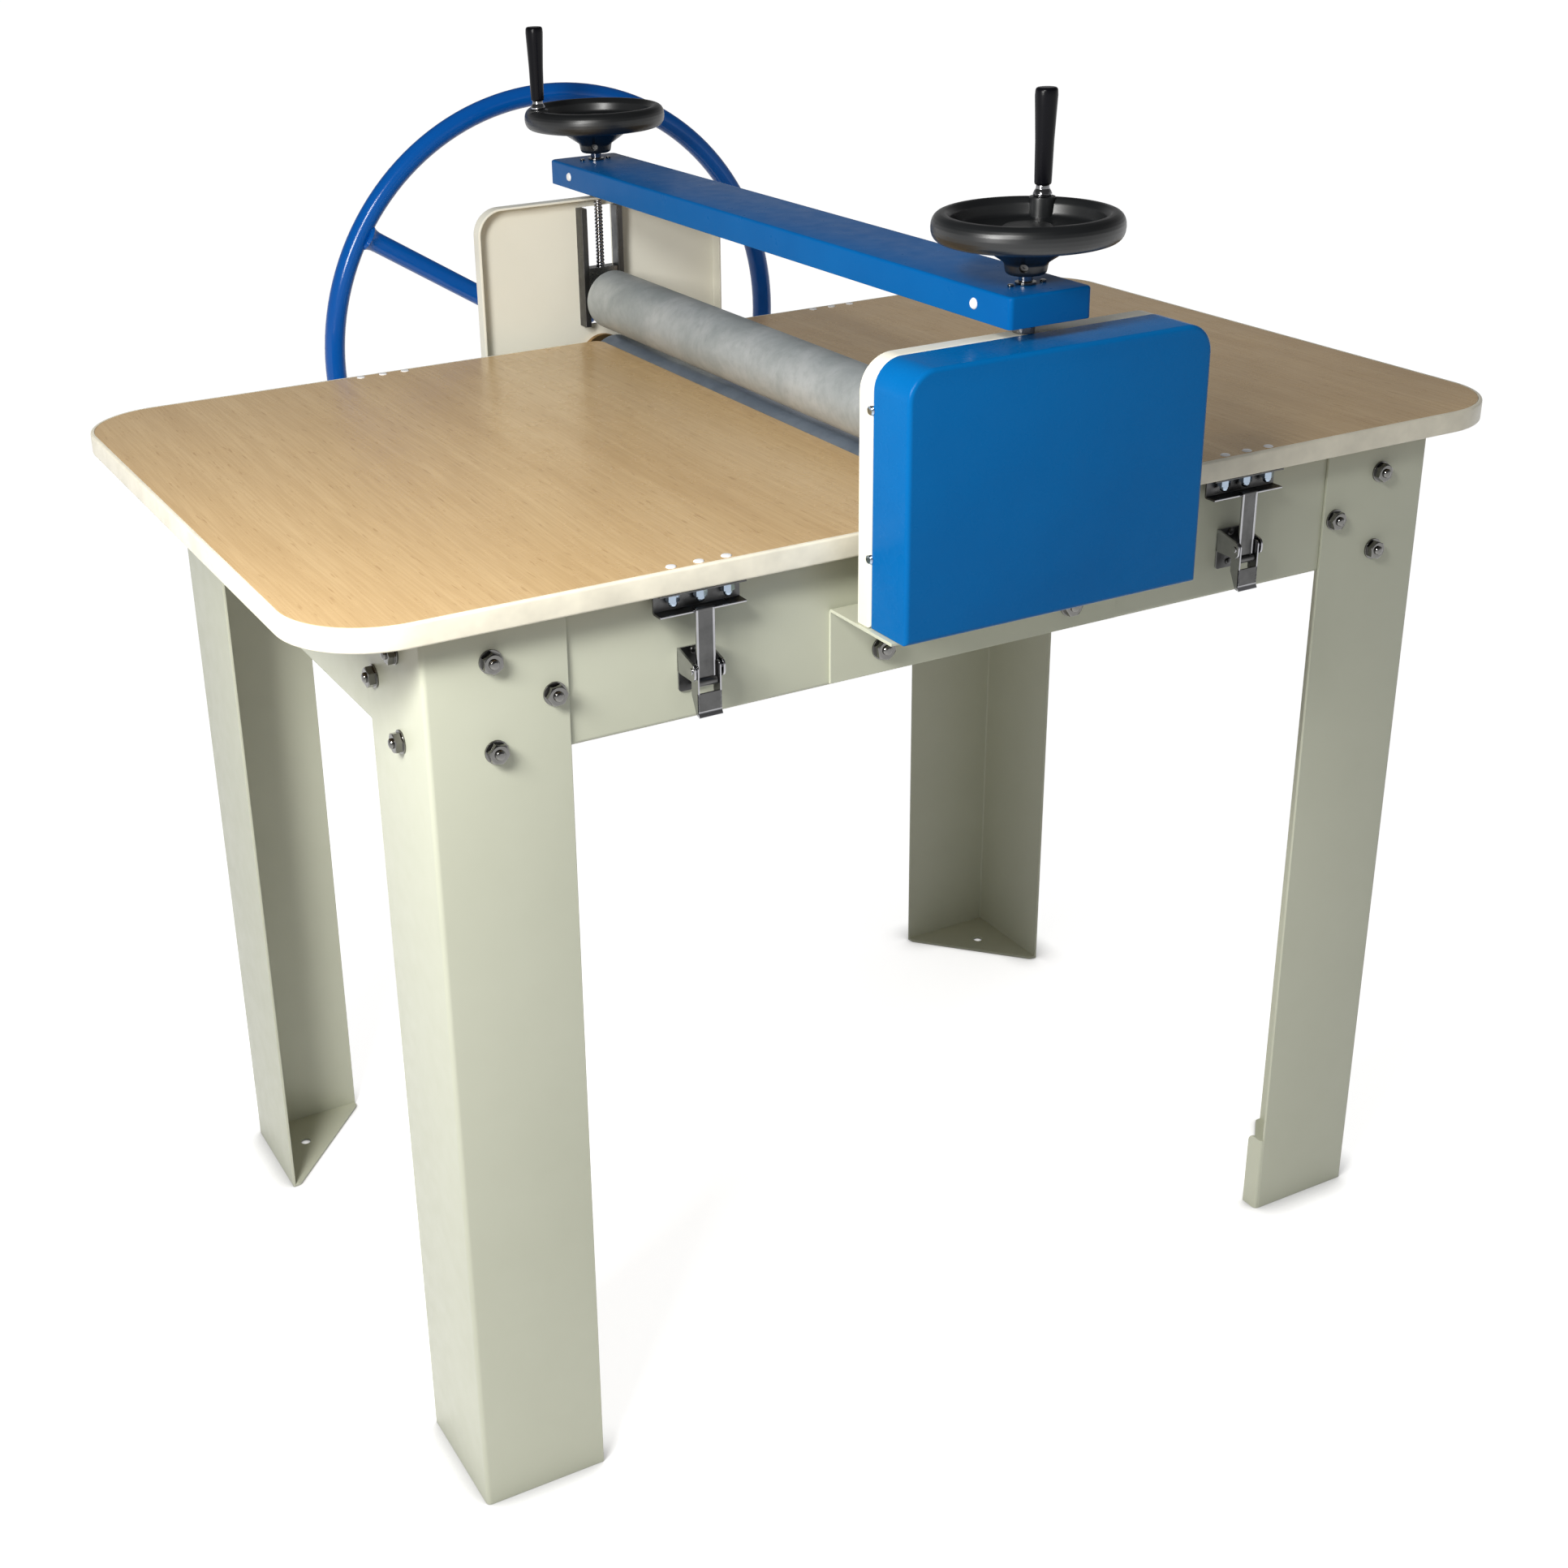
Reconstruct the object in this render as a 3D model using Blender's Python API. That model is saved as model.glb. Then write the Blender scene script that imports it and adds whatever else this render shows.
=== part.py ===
"""Table-mounted two-roller press with a geared roller pair, a large drive wheel and two pressure handwheels.

Metres, +Z up. X runs along the table, Y along the rollers, with the gear cover on the -Y (near) side and
the drive wheel on the +Y (far) side. The machine is laid out about its rollers' centre plane, and the
empty `machine` shifts it so that the world origin is the bottom centre of its bounding box.
"""
import math

import bmesh
import bpy
from mathutils import Matrix, Vector

# Clearances
GAP = 0.0003               # between pieces that touch
RUN = 0.0003               # radial, around shafts that turn
SLIDE = 0.0005             # each side of a piece that slides

# Table wings
TABLE_LENGTH = 1.270
TABLE_WIDTH = 0.762
TABLE_HEIGHT = 0.914       # floor to table top
BOARD = 0.021
TABLE_CORNER = 0.085       # radius of the four outer corners
INNER_CORNER = 0.012       # radius beside the rollers
TRIM = 0.004               # thickness of the edge moulding
TRIM_ROUND = 0.0022        # how far the moulding's edges are eased
LIP_ANGLE = math.radians(38)   # slope of the wing's end under its lip
LIP_GAP = 0.0008           # wing lip to lower roller

# Frame
SHEET = 0.003
LEG_INSET_X = 0.097        # table end to the leg's outer face
LEG_INSET_Y = 0.022        # table side to the leg's outer face
LEG_FRONT = 0.124          # flange along the table
LEG_FRONT_TOP = 0.129
LEG_END = 0.133            # flange along the rollers
FOOT_EDGE = 0.008          # blunt corners of the foot plate
FOOT_TAB_DEPTH = 0.019     # upright return on the near feet
FOOT_TAB_HEIGHT = 0.091
FOOT_HOLE = 0.006          # radius
FOOT_HOLE_X = 0.042        # from the leg's outer faces
FOOT_HOLE_Y = 0.053
RAIL_DEPTH = 0.1257
RAIL_LIP = 0.020
NOTCH_GAP = 0.0025         # rail to the lower roller

# Rollers and gears
ROLLER = 0.0335            # radius of both rollers
ROLLER_EASE = 0.003        # rounding of their end corners
LOWER_RISE = 0.0035        # lower roller's top above the table
NIP = 0.008                # gap between the rollers as stored
NIP_LEAST = 0.0005
UPPER_JOURNAL = 0.010
LOWER_JOURNAL = 0.012
GEAR_TEETH = 8             # long teeth, which stay in mesh as the nip opens
GEAR_WIDTH = 0.016
GEAR_ROOT_HALF = 0.0035
GEAR_TIP_HALF = 0.0020
LOWER_ADDENDUM = 0.0020
UPPER_ADDENDUM = 0.0085
GEAR_TIP_GAP = 0.001
GEAR_FLOOR_GAP = 0.0035    # lower gear's tips to the shelf

# Side plates and their brackets
PLATE_OFFSET = 0.019       # table side to the plate's rim
PLATE_DEPTH = 0.018
PLATE_SHEET = 0.0025
PLATE_HALF = 0.155         # half of its width
PLATE_RISE = 0.1145        # upper roller's axis to the plate's top
PLATE_CORNER = 0.030
GUIDE_WIDTH = 0.0075       # upright bars beside the slot
GUIDE_TOP = 0.012          # below the plate's top
GUIDE_FOOT = 0.034         # below the upper roller's axis
BRACKET_HALF = 0.157
BRACKET_DROP = 0.071
SHELF_REACH = 0.0375       # past the plate
BEARING = 0.020            # outer radius of the lower bearing
BEARING_FLANGE = 0.028
BEARING_FLANGE_THICK = 0.0065
BEARING_PROUD = 0.0035     # past the plate's face

# Upper bearing blocks
BLOCK_HALF = 0.0185
BLOCK_BELOW = 0.024        # below the upper roller's axis
BLOCK_ABOVE = 0.0335
BLOCK_THICK = 0.0155
THREAD_REACH = 0.0225      # thread's end above the upper roller's axis

# Gear cover
COVER_HALF = 0.153
COVER_DEPTH = 0.052
COVER_SHEET = 0.0015
COVER_CORNER = 0.026
COVER_EASE = 0.003         # folded front edges

# Crossbar, spindles and handwheels
SPINDLE_OFFSET = 0.010     # from the plate's rim
SPINDLE_THREAD = 0.005
SPINDLE_NECK = 0.006
BAR_WIDTH = 0.0825
BAR_HEIGHT = 0.027
BAR_LIFT = 0.0135          # above the plates
BAR_OVERHANG = 0.0285      # past the plates
BAR_SHEET = 0.002
POST_HALF_X = 0.0385
POST_HALF_Y = 0.0250
POST_NECK = 0.0095
COLLAR = 0.0090
COLLAR_THICK = 0.0020
SPINDLE_TOP = 0.004        # above the bottom of the rim
WHEEL_LIFT = 0.040         # bar's top to the bottom of the handwheel's rim
HAND_RADIUS = 0.0795
HAND_RIM_HEIGHT = 0.0200
HAND_HUB = 0.0170
HAND_HUB_LIFT = 0.0085     # hub's bottom above the bar
CRANK_RADIUS = 0.0660      # handle's place on the handwheel
CRANK_BOSS = 0.0110        # radius of the boss under it
CRANK_BOSS_PROUD = 0.0005
CRANK_ANGLE_NEAR = math.radians(43.5)
CRANK_ANGLE_FAR = math.radians(171.5)
CRANK_PIN = 0.0040
CRANK_COLLAR = 0.0080
CRANK_COLLAR_HEIGHT = 0.0092
GRIP_LENGTH = 0.0792
GRIP_FOOT = 0.0070         # radius at its lower end
GRIP_HEAD = 0.0098         # radius near its upper end

# Drive wheel
WHEEL_OFFSET = 0.122       # far plate's face to the wheel's plane
WHEEL_RADIUS = 0.2905      # to the rim tube's centre
WHEEL_TUBE = 0.0120
WHEEL_HUB = 0.028
WHEEL_HUB_HALF = 0.0225
SPOKES = 3
SPOKE_ANGLE = math.radians(148)
CAP_RADIUS = 0.019
CAP_HEIGHT = 0.008

# Toggle latches, one under each wing on both sides
LATCH_X = 0.292
KEEPER_HALF = 0.041
KEEPER_SHEET = 0.002
KEEPER_BACK = 0.0170       # table side in to the keeper's web
KEEPER_NOSE = 0.0025       # table side in to its lower lip's edge
KEEPER_HEIGHT = 0.0205
STRAP_HALF = 0.009
STRAP_SHEET = 0.002
STRAP_HOOK = 0.0045
STRAP_LENGTH = 0.0668      # hook pin to the keeper's lip
STRAP_EYE = 0.0040
HOOK_PIN = 0.0020
LEVER_THROW = 0.012        # lever pivot down to the hook pin
LEVER_OVER = 0.0015        # how far over centre it closes
LEVER_HALF = 0.0113
LEVER_SHEET = 0.0015
LEVER_OUT = 0.0045         # lever pivot out to the handle's face
LEVER_IN = 0.0075          # lever pivot in to the cheeks' edges
LEVER_UP = 0.0060          # lever pivot up to their tops
LEVER_TAIL = 0.0295        # below the hook pin
PAD_START = 0.0080         # hook pin down to the handle pad
PIVOT_PIN = 0.0020
EAR_HALF = 0.0150
EAR_SHEET = 0.0020
EAR_OUT = 0.0055           # lever pivot out to the ears' edges
BASE_ABOVE = 0.013
BASE_BELOW = 0.027

# What follows from them
HALF_L = TABLE_LENGTH / 2
HALF_W = TABLE_WIDTH / 2
BOARD_UNDER = TABLE_HEIGHT - BOARD
LEG_X = HALF_L - LEG_INSET_X
LEG_Y = HALF_W - LEG_INSET_Y
LEG_TOP = BOARD_UNDER - GAP
RAIL_FACE = LEG_Y - SHEET - GAP
LOWER_Z = TABLE_HEIGHT + LOWER_RISE - ROLLER
UPPER_Z = LOWER_Z + 2 * ROLLER + NIP
AXES_APART = UPPER_Z - LOWER_Z
LOWER_TIP = AXES_APART / 2 + LOWER_ADDENDUM
UPPER_TIP = AXES_APART / 2 + UPPER_ADDENDUM
CLOSEST = 2 * ROLLER + NIP_LEAST
SHELF_Z = LOWER_Z - LOWER_TIP - GEAR_FLOOR_GAP
RIM_Y = HALF_W + PLATE_OFFSET
PLATE_Y = RIM_Y + PLATE_DEPTH
PLATE_BOTTOM = SHELF_Z + GAP
PLATE_TOP = UPPER_Z + PLATE_RISE
COVER_Y = PLATE_Y + GAP + COVER_DEPTH
SPINDLE_Y = RIM_Y + SPINDLE_OFFSET
BAR_Z = PLATE_TOP + BAR_LIFT
BAR_TOP = BAR_Z + BAR_HEIGHT
BAR_END = PLATE_Y + BAR_OVERHANG
REACH_NEAR = max(COVER_Y, SPINDLE_Y + HAND_RADIUS)
RIM_Z = BAR_TOP + WHEEL_LIFT
WHEEL_Y = PLATE_Y + WHEEL_OFFSET
AXLE_END = WHEEL_Y + WHEEL_HUB_HALF
REACH_FAR = AXLE_END + GAP + CAP_HEIGHT
HOOK_PIN_Y = HALF_W - STRAP_SHEET / 2
HOOK_TOP = BOARD_UNDER - KEEPER_HEIGHT + KEEPER_SHEET + GAP + STRAP_SHEET
HOOK_PIN_Z = HOOK_TOP - STRAP_LENGTH
PIVOT_Y = HOOK_PIN_Y + LEVER_OVER
PIVOT_Z = HOOK_PIN_Z + LEVER_THROW

FACETS = 32                # round pieces of middling size


# ---------------------------------------------------------------- scene and materials

def clear_scene():
    for old in list(bpy.data.objects):
        bpy.data.objects.remove(old, do_unlink=True)


def finish_of(name, colour, roughness, metallic=0.0):
    material = bpy.data.materials.new(name)
    material.use_nodes = True
    shader = material.node_tree.nodes["Principled BSDF"]
    shader.inputs["Base Color"].default_value = (*colour, 1.0)
    shader.inputs["Roughness"].default_value = roughness
    shader.inputs["Metallic"].default_value = metallic
    return material


clear_scene()
CREAM = finish_of("frame_paint", (0.52, 0.53, 0.44), 0.45)
BLUE = finish_of("blue_paint", (0.01, 0.11, 0.38), 0.30)
LAMINATE = finish_of("laminate", (0.76, 0.52, 0.30), 0.40)
MOULDING = finish_of("edge_moulding", (0.90, 0.84, 0.68), 0.45)
ROLLER_STEEL = finish_of("roller_steel", (0.36, 0.37, 0.38), 0.55, 0.6)
STEEL = finish_of("steel", (0.45, 0.45, 0.46), 0.35, 1.0)
CHROME = finish_of("chrome", (0.75, 0.75, 0.77), 0.12, 1.0)
IRON = finish_of("gear_iron", (0.16, 0.16, 0.17), 0.5, 0.8)
BRONZE = finish_of("bearing_bronze", (0.45, 0.27, 0.10), 0.4, 1.0)
BLACK = finish_of("black_plastic", (0.02, 0.02, 0.022), 0.38)

MACHINE = bpy.data.objects.new("machine", None)
MACHINE.location = (0, (REACH_NEAR - REACH_FAR) / 2, 0)
bpy.context.collection.objects.link(MACHINE)


def place(name, bm, material, origin=(0, 0, 0), turned_round=False, smooth=None):
    """Make a mesh drawn in machine coordinates an object, with its own origin at `origin`.

    turned_round puts it on the other side, half a turn about the machine's upright centre line.
    """
    bmesh.ops.translate(bm, verts=bm.verts, vec=-Vector(origin))
    bmesh.ops.recalc_face_normals(bm, faces=bm.faces)
    mesh = bpy.data.meshes.new(name)
    bm.to_mesh(mesh)
    bm.free()
    mesh.materials.append(material)
    if smooth is not None:
        mesh.shade_smooth()
        mesh.set_sharp_from_angle(angle=math.radians(smooth))
    piece = bpy.data.objects.new(name, mesh)
    bpy.context.collection.objects.link(piece)
    piece.parent = MACHINE
    x, y, z = origin
    piece.location = (-x, -y, z) if turned_round else (x, y, z)
    piece.rotation_euler.z = math.pi if turned_round else 0.0
    return piece


def shape(target, tool_bm, operation="DIFFERENCE"):
    """Cut or join a tool, drawn in machine coordinates like its target, onto a piece."""
    bmesh.ops.recalc_face_normals(tool_bm, faces=tool_bm.faces)
    mesh = bpy.data.meshes.new(f"{target.name}_tool_{len(target.modifiers)}")
    tool_bm.to_mesh(mesh)
    tool_bm.free()
    tool = bpy.data.objects.new(mesh.name, mesh)
    bpy.context.collection.objects.link(tool)
    tool.parent = MACHINE
    tool.rotation_euler = target.rotation_euler
    tool.hide_render = True
    tool.display_type = "WIRE"
    change = target.modifiers.new(tool.name, "BOOLEAN")
    change.operation = operation
    change.solver = "EXACT"
    change.object = tool


# ---------------------------------------------------------------- shapes

def rounded(corners):
    """Outline from (u, v, radius) corners, with each radius drawn as an arc."""
    outline = []
    for i, (u, v, radius) in enumerate(corners):
        here = Vector((u, v))
        if radius <= 0:
            outline.append(here)
            continue
        back = (Vector(corners[i - 1][:2]) - here).normalized()
        ahead = (Vector(corners[(i + 1) % len(corners)][:2]) - here).normalized()
        half = back.angle(ahead) / 2
        centre = here + (back + ahead).normalized() * radius / math.sin(half)
        first = here + back * radius / math.tan(half) - centre
        last = here + ahead * radius / math.tan(half) - centre
        sweep = math.atan2(last.y, last.x) - math.atan2(first.y, first.x)
        sweep = (sweep + math.pi) % (2 * math.pi) - math.pi
        steps = max(3, math.ceil(abs(sweep) / math.radians(11 if radius > 0.01 else 23)))
        outline += [centre + Matrix.Rotation(sweep * k / steps, 2) @ first for k in range(steps + 1)]
    return outline


def prism(outline, axis, low, high, high_outline=None):
    """Solid between two like outlines, drawn in the plane across `axis`."""
    spread = {"X": lambda p, w: (w, p[0], p[1]),
              "Y": lambda p, w: (p[0], w, p[1]),
              "Z": lambda p, w: (p[0], p[1], w)}[axis]
    bm = bmesh.new()
    first = [bm.verts.new(spread(p, low)) for p in outline]
    last = [bm.verts.new(spread(p, high)) for p in (high_outline or outline)]
    bm.faces.new(first)
    bm.faces.new(last)
    for i in range(len(first)):
        j = (i + 1) % len(first)
        bm.faces.new((first[i], first[j], last[j], last[i]))
    return bm


def block(low, high):
    corners = [(low[0], low[1]), (high[0], low[1]), (high[0], high[1]), (low[0], high[1])]
    return prism(corners, "Z", low[2], high[2])


def turned(profile, centre, axis, facets=FACETS, closed=False):
    """Solid of revolution from (radius, height) points; closed for a profile with a bore."""
    bm = bmesh.new()
    rings = []
    for radius, height in profile:
        if radius == 0:
            rings.append([bm.verts.new((0, 0, height))])
            continue
        angles = [2 * math.pi * k / facets for k in range(facets)]
        rings.append([bm.verts.new((radius * math.cos(a), radius * math.sin(a), height)) for a in angles])
    pairs = list(zip(rings, rings[1:]))
    if closed:
        pairs.append((rings[-1], rings[0]))
    for one, other in pairs:
        for k in range(facets):
            after = (k + 1) % facets
            ring = (one[k % len(one)], one[after % len(one)],
                    other[after % len(other)], other[k % len(other)])
            bm.faces.new(dict.fromkeys(ring))
    lay = {"X": Matrix.Rotation(math.pi / 2, 4, "Y"),
           "Y": Matrix.Rotation(-math.pi / 2, 4, "X"),
           "Z": Matrix.Identity(4)}[axis]
    bmesh.ops.transform(bm, matrix=Matrix.Translation(centre) @ lay, verts=bm.verts)
    return bm


def rod(centre, axis, radius, low, high, facets=FACETS):
    """Plain cylinder from low to high along the axis through `centre`."""
    return turned([(0, low), (radius, low), (radius, high), (0, high)], centre, axis, facets)


def tube(centre, axis, bore, radius, low, high, facets=FACETS):
    outline = [(bore, low), (radius, low), (radius, high), (bore, high)]
    return turned(outline, centre, axis, facets, closed=True)


# ---------------------------------------------------------------- table wings

def wing_outlines(inset):
    """Lower and upper outline of the left wing, `inset` in from its three moulded edges."""
    near_roller = ROLLER + LIP_GAP
    lip = [(near_roller - (z - LOWER_Z) * math.sin(LIP_ANGLE)) / math.cos(LIP_ANGLE)
           for z in (BOARD_UNDER, TABLE_HEIGHT)]
    outlines = []
    for inner in lip:
        side = HALF_W - inset
        corners = [(-inner, side, INNER_CORNER), (-HALF_L + inset, side, TABLE_CORNER - inset),
                   (-HALF_L + inset, -side, TABLE_CORNER - inset), (-inner, -side, INNER_CORNER)]
        outlines.append(rounded(corners))
    return outlines


def wing(side, turn):
    under, over = wing_outlines(TRIM + GAP)
    place(f"wing_{side}", prism(under, "Z", BOARD_UNDER, TABLE_HEIGHT, over), LAMINATE, turned_round=turn)


def edge_trim(side, turn):
    """Moulding swept round the wing's three free edges, open at the rollers."""
    end = (BOARD_UNDER, TABLE_HEIGHT)
    section = [(TRIM, end[0]), (TRIM_ROUND, end[0]), (0, end[0] + TRIM_ROUND),
               (0, end[1] - TRIM_ROUND), (TRIM_ROUND, end[1]), (TRIM, end[1])]
    start = -(ROLLER + LIP_GAP) - INNER_CORNER
    rings = []
    for inset, height in section:
        side_y = HALF_W - inset
        corners = [(start, side_y, 0), (-HALF_L + inset, side_y, TABLE_CORNER - inset),
                   (-HALF_L + inset, -side_y, TABLE_CORNER - inset), (start, -side_y, 0)]
        rings.append([(point.x, point.y, height) for point in rounded(corners)])
    bm = bmesh.new()
    rails = [[bm.verts.new(point) for point in ring] for ring in rings]
    for one, other in zip(rails, rails[1:] + rails[:1]):
        for k in range(len(one) - 1):
            bm.faces.new((one[k], one[k + 1], other[k + 1], other[k]))
    bm.faces.new([rail[0] for rail in rails])
    bm.faces.new([rail[-1] for rail in rails])
    place(f"edge_trim_{side}", bm, MOULDING, turned_round=turn, smooth=50)


# ---------------------------------------------------------------- frame

def leg(end, side):
    """Bent-sheet angle leg with a foot plate and, on the near side, an upright return at its foot."""
    sx = -1 if end == "left" else 1
    sy = -1 if side == "near" else 1

    def mirrored(points):
        return [(sx * x, sy * y) for x, y in points]

    def angle_section(front):
        return mirrored([(LEG_X, LEG_Y), (LEG_X - front, LEG_Y), (LEG_X - front, LEG_Y - SHEET),
                         (LEG_X - SHEET, LEG_Y - SHEET), (LEG_X - SHEET, LEG_Y - LEG_END),
                         (LEG_X, LEG_Y - LEG_END)])

    angle = prism(angle_section(LEG_FRONT), "Z", 0, LEG_TOP, angle_section(LEG_FRONT_TOP))
    piece = place(f"leg_{side}_{end}", angle, CREAM)
    x, y = LEG_X - SHEET / 2, LEG_Y - SHEET / 2
    free_x, free_y = LEG_X - LEG_FRONT + SHEET / 2, LEG_Y - LEG_END + SHEET / 2
    plate = [(x, y), (free_x, y), (free_x, y - FOOT_EDGE), (x - FOOT_EDGE, free_y), (x, free_y)]
    shape(piece, prism(mirrored(plate), "Z", 0, SHEET), "UNION")
    if side == "near":
        free = LEG_X - LEG_FRONT
        tab = [(free, LEG_Y - SHEET / 2), (free + SHEET, LEG_Y - SHEET / 2),
               (free + SHEET, LEG_Y - FOOT_TAB_DEPTH), (free, LEG_Y - FOOT_TAB_DEPTH)]
        shape(piece, prism(mirrored(tab), "Z", 0, FOOT_TAB_HEIGHT), "UNION")
    hole = (sx * (LEG_X - FOOT_HOLE_X), sy * (LEG_Y - FOOT_HOLE_Y), 0)
    shape(piece, rod(hole, "Z", FOOT_HOLE, -SHEET, 2 * SHEET, 12))


def rail_section(face, top):
    """C section of a folded rail, open towards the machine's middle, as (across, height) points."""
    bottom = top - RAIL_DEPTH
    inner = face - RAIL_LIP
    return [(-face, bottom), (-inner, bottom), (-inner, bottom + SHEET), (-face + SHEET, bottom + SHEET),
            (-face + SHEET, top - SHEET), (-inner, top - SHEET), (-inner, top), (-face, top)]


def side_rail(side, turn):
    """Rail along the table, notched for the lower roller."""
    reach = LEG_X - SHEET - GAP
    section = prism(rail_section(RAIL_FACE, LEG_TOP), "X", -reach, reach)
    rail = place(f"rail_{side}", section, CREAM, turned_round=turn)
    half = ROLLER + NOTCH_GAP
    shape(rail, rod((0, -RAIL_FACE, LOWER_Z), "Y", half, -RAIL_LIP, 2 * RAIL_LIP))
    shape(rail, block((-half, -RAIL_FACE - RAIL_LIP, LOWER_Z),
                      (half, -RAIL_FACE + 2 * RAIL_LIP, TABLE_HEIGHT)))


def end_rail(side, turn):
    reach = RAIL_FACE - RAIL_LIP - GAP
    section = rail_section(LEG_X - SHEET - GAP, LEG_TOP)
    place(f"end_rail_{side}", prism(section, "Y", -reach, reach), CREAM, turned_round=turn)


def bracket(side, turn):
    """Angle bolted to the rail, whose shelf carries the side plate."""
    back = -RAIL_FACE - GAP
    front = -(PLATE_Y + SHELF_REACH)
    outline = [(back, SHELF_Z - BRACKET_DROP), (back - SHEET, SHELF_Z - BRACKET_DROP),
               (back - SHEET, SHELF_Z - SHEET), (front, SHELF_Z - SHEET), (front, SHELF_Z), (back, SHELF_Z)]
    place(f"bracket_{side}", prism(outline, "X", -BRACKET_HALF, BRACKET_HALF), CREAM, turned_round=turn)


# ---------------------------------------------------------------- side plates

def side_plate(side, turn):
    """Folded pan, open towards the table, with a guided slot for the upper bearing block."""
    def upright(half, bottom, top, radius):
        return rounded([(-half, bottom, 0), (half, bottom, 0), (half, top, radius), (-half, top, radius)])

    shell = prism(upright(PLATE_HALF, PLATE_BOTTOM, PLATE_TOP, PLATE_CORNER), "Y", -PLATE_Y, -RIM_Y)
    piece = place(f"side_plate_{side}", shell, CREAM, turned_round=turn)
    hollow = upright(PLATE_HALF - PLATE_SHEET, PLATE_BOTTOM + PLATE_SHEET, PLATE_TOP - PLATE_SHEET,
                     PLATE_CORNER - PLATE_SHEET)
    shape(piece, prism(hollow, "Y", -PLATE_Y + PLATE_SHEET, -RIM_Y + PLATE_SHEET))
    slot = BLOCK_HALF + SLIDE
    foot = UPPER_Z - GUIDE_FOOT
    top = PLATE_TOP - GUIDE_TOP
    for sign in (-1, 1):
        low, high = sorted((sign * slot, sign * (slot + GUIDE_WIDTH)))
        bar = block((low, -PLATE_Y + PLATE_SHEET / 2, foot), (high, -RIM_Y - SLIDE, top))
        shape(piece, bar, "UNION")
    shape(piece, block((-slot, -PLATE_Y - PLATE_SHEET, foot), (slot, -PLATE_Y + 2 * PLATE_SHEET, top)))
    shape(piece, rod((0, -PLATE_Y, LOWER_Z), "Y", BEARING + GAP, -PLATE_SHEET, 2 * PLATE_SHEET))
    hole = SPINDLE_THREAD + 2 * RUN
    shape(piece, rod((0, -SPINDLE_Y, PLATE_TOP), "Z", hole, -2 * PLATE_SHEET, PLATE_SHEET, 24))


def lower_bearing(side, turn):
    """Flanged bush for the lower roller, seated in the side plate from its inner side."""
    face = -PLATE_Y + PLATE_SHEET + GAP
    bore = LOWER_JOURNAL + RUN
    front = -PLATE_Y - BEARING_PROUD
    profile = [(bore, front), (BEARING, front), (BEARING, face), (BEARING_FLANGE, face),
               (BEARING_FLANGE, face + BEARING_FLANGE_THICK), (bore, face + BEARING_FLANGE_THICK)]
    place(f"lower_bearing_{side}", turned(profile, (0, 0, LOWER_Z), "Y", closed=True), BRONZE,
          turned_round=turn, smooth=40)


def bearing_block(side, turn):
    """Block that slides in the side plate and carries one end of the upper roller."""
    back = SPINDLE_Y + BLOCK_THICK / 2
    body = block((-BLOCK_HALF, -back, UPPER_Z - BLOCK_BELOW),
                 (BLOCK_HALF, -back + BLOCK_THICK, UPPER_Z + BLOCK_ABOVE))
    piece = place(f"bearing_block_{side}", body, STEEL, turned_round=turn)
    shape(piece, rod((0, -SPINDLE_Y, UPPER_Z), "Y", UPPER_JOURNAL + RUN, -BLOCK_THICK, BLOCK_THICK))
    shape(piece, rod((0, -SPINDLE_Y, UPPER_Z), "Z", SPINDLE_THREAD + RUN, 0, 2 * BLOCK_ABOVE, 24))


def drive_cover():
    """Pressed box over the gears, open at the side plate."""
    def face(inset, radius):
        half = COVER_HALF - inset
        return rounded([(-half, PLATE_BOTTOM + inset, 0), (half, PLATE_BOTTOM + inset, 0),
                        (half, PLATE_TOP - inset, radius), (-half, PLATE_TOP - inset, radius)])

    back = -PLATE_Y - GAP
    layers = [(back, face(0, COVER_CORNER)), (-COVER_Y + COVER_EASE, face(0, COVER_CORNER)),
              (-COVER_Y + COVER_EASE * 0.3, face(COVER_EASE * 0.3, COVER_CORNER - COVER_EASE * 0.3)),
              (-COVER_Y, face(COVER_EASE, COVER_CORNER - COVER_EASE)),
              (-COVER_Y + COVER_SHEET, face(COVER_EASE, COVER_CORNER - COVER_EASE)),
              (-COVER_Y + COVER_EASE, face(COVER_SHEET, COVER_CORNER - COVER_SHEET)),
              (back, face(COVER_SHEET, COVER_CORNER - COVER_SHEET))]
    bm = bmesh.new()
    rings = [[bm.verts.new((p.x, y, p.y)) for p in outline] for y, outline in layers]
    for one, other in zip(rings, rings[1:] + rings[:1]):
        if one is rings[3]:
            bm.faces.new(one)
            bm.faces.new(other)
            continue
        for k in range(len(one)):
            after = (k + 1) % len(one)
            bm.faces.new((one[k], one[after], other[after], other[k]))
    place("drive_cover", bm, BLUE, smooth=25)


# ---------------------------------------------------------------- rollers and gears

def roller_profile(near_end, near_journal, far_end, far_journal):
    """(radius, height) points along Y for a roller with a journal at each end."""
    return [(0, near_end), (near_journal, near_end), (near_journal, -HALF_W),
            (ROLLER - ROLLER_EASE, -HALF_W), (ROLLER, -HALF_W + ROLLER_EASE),
            (ROLLER, HALF_W - ROLLER_EASE), (ROLLER - ROLLER_EASE, HALF_W),
            (far_journal, HALF_W), (far_journal, far_end), (0, far_end)]


GEAR_BACK = PLATE_Y + 0.006
GEAR_FRONT = GEAR_BACK + GEAR_WIDTH


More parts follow.
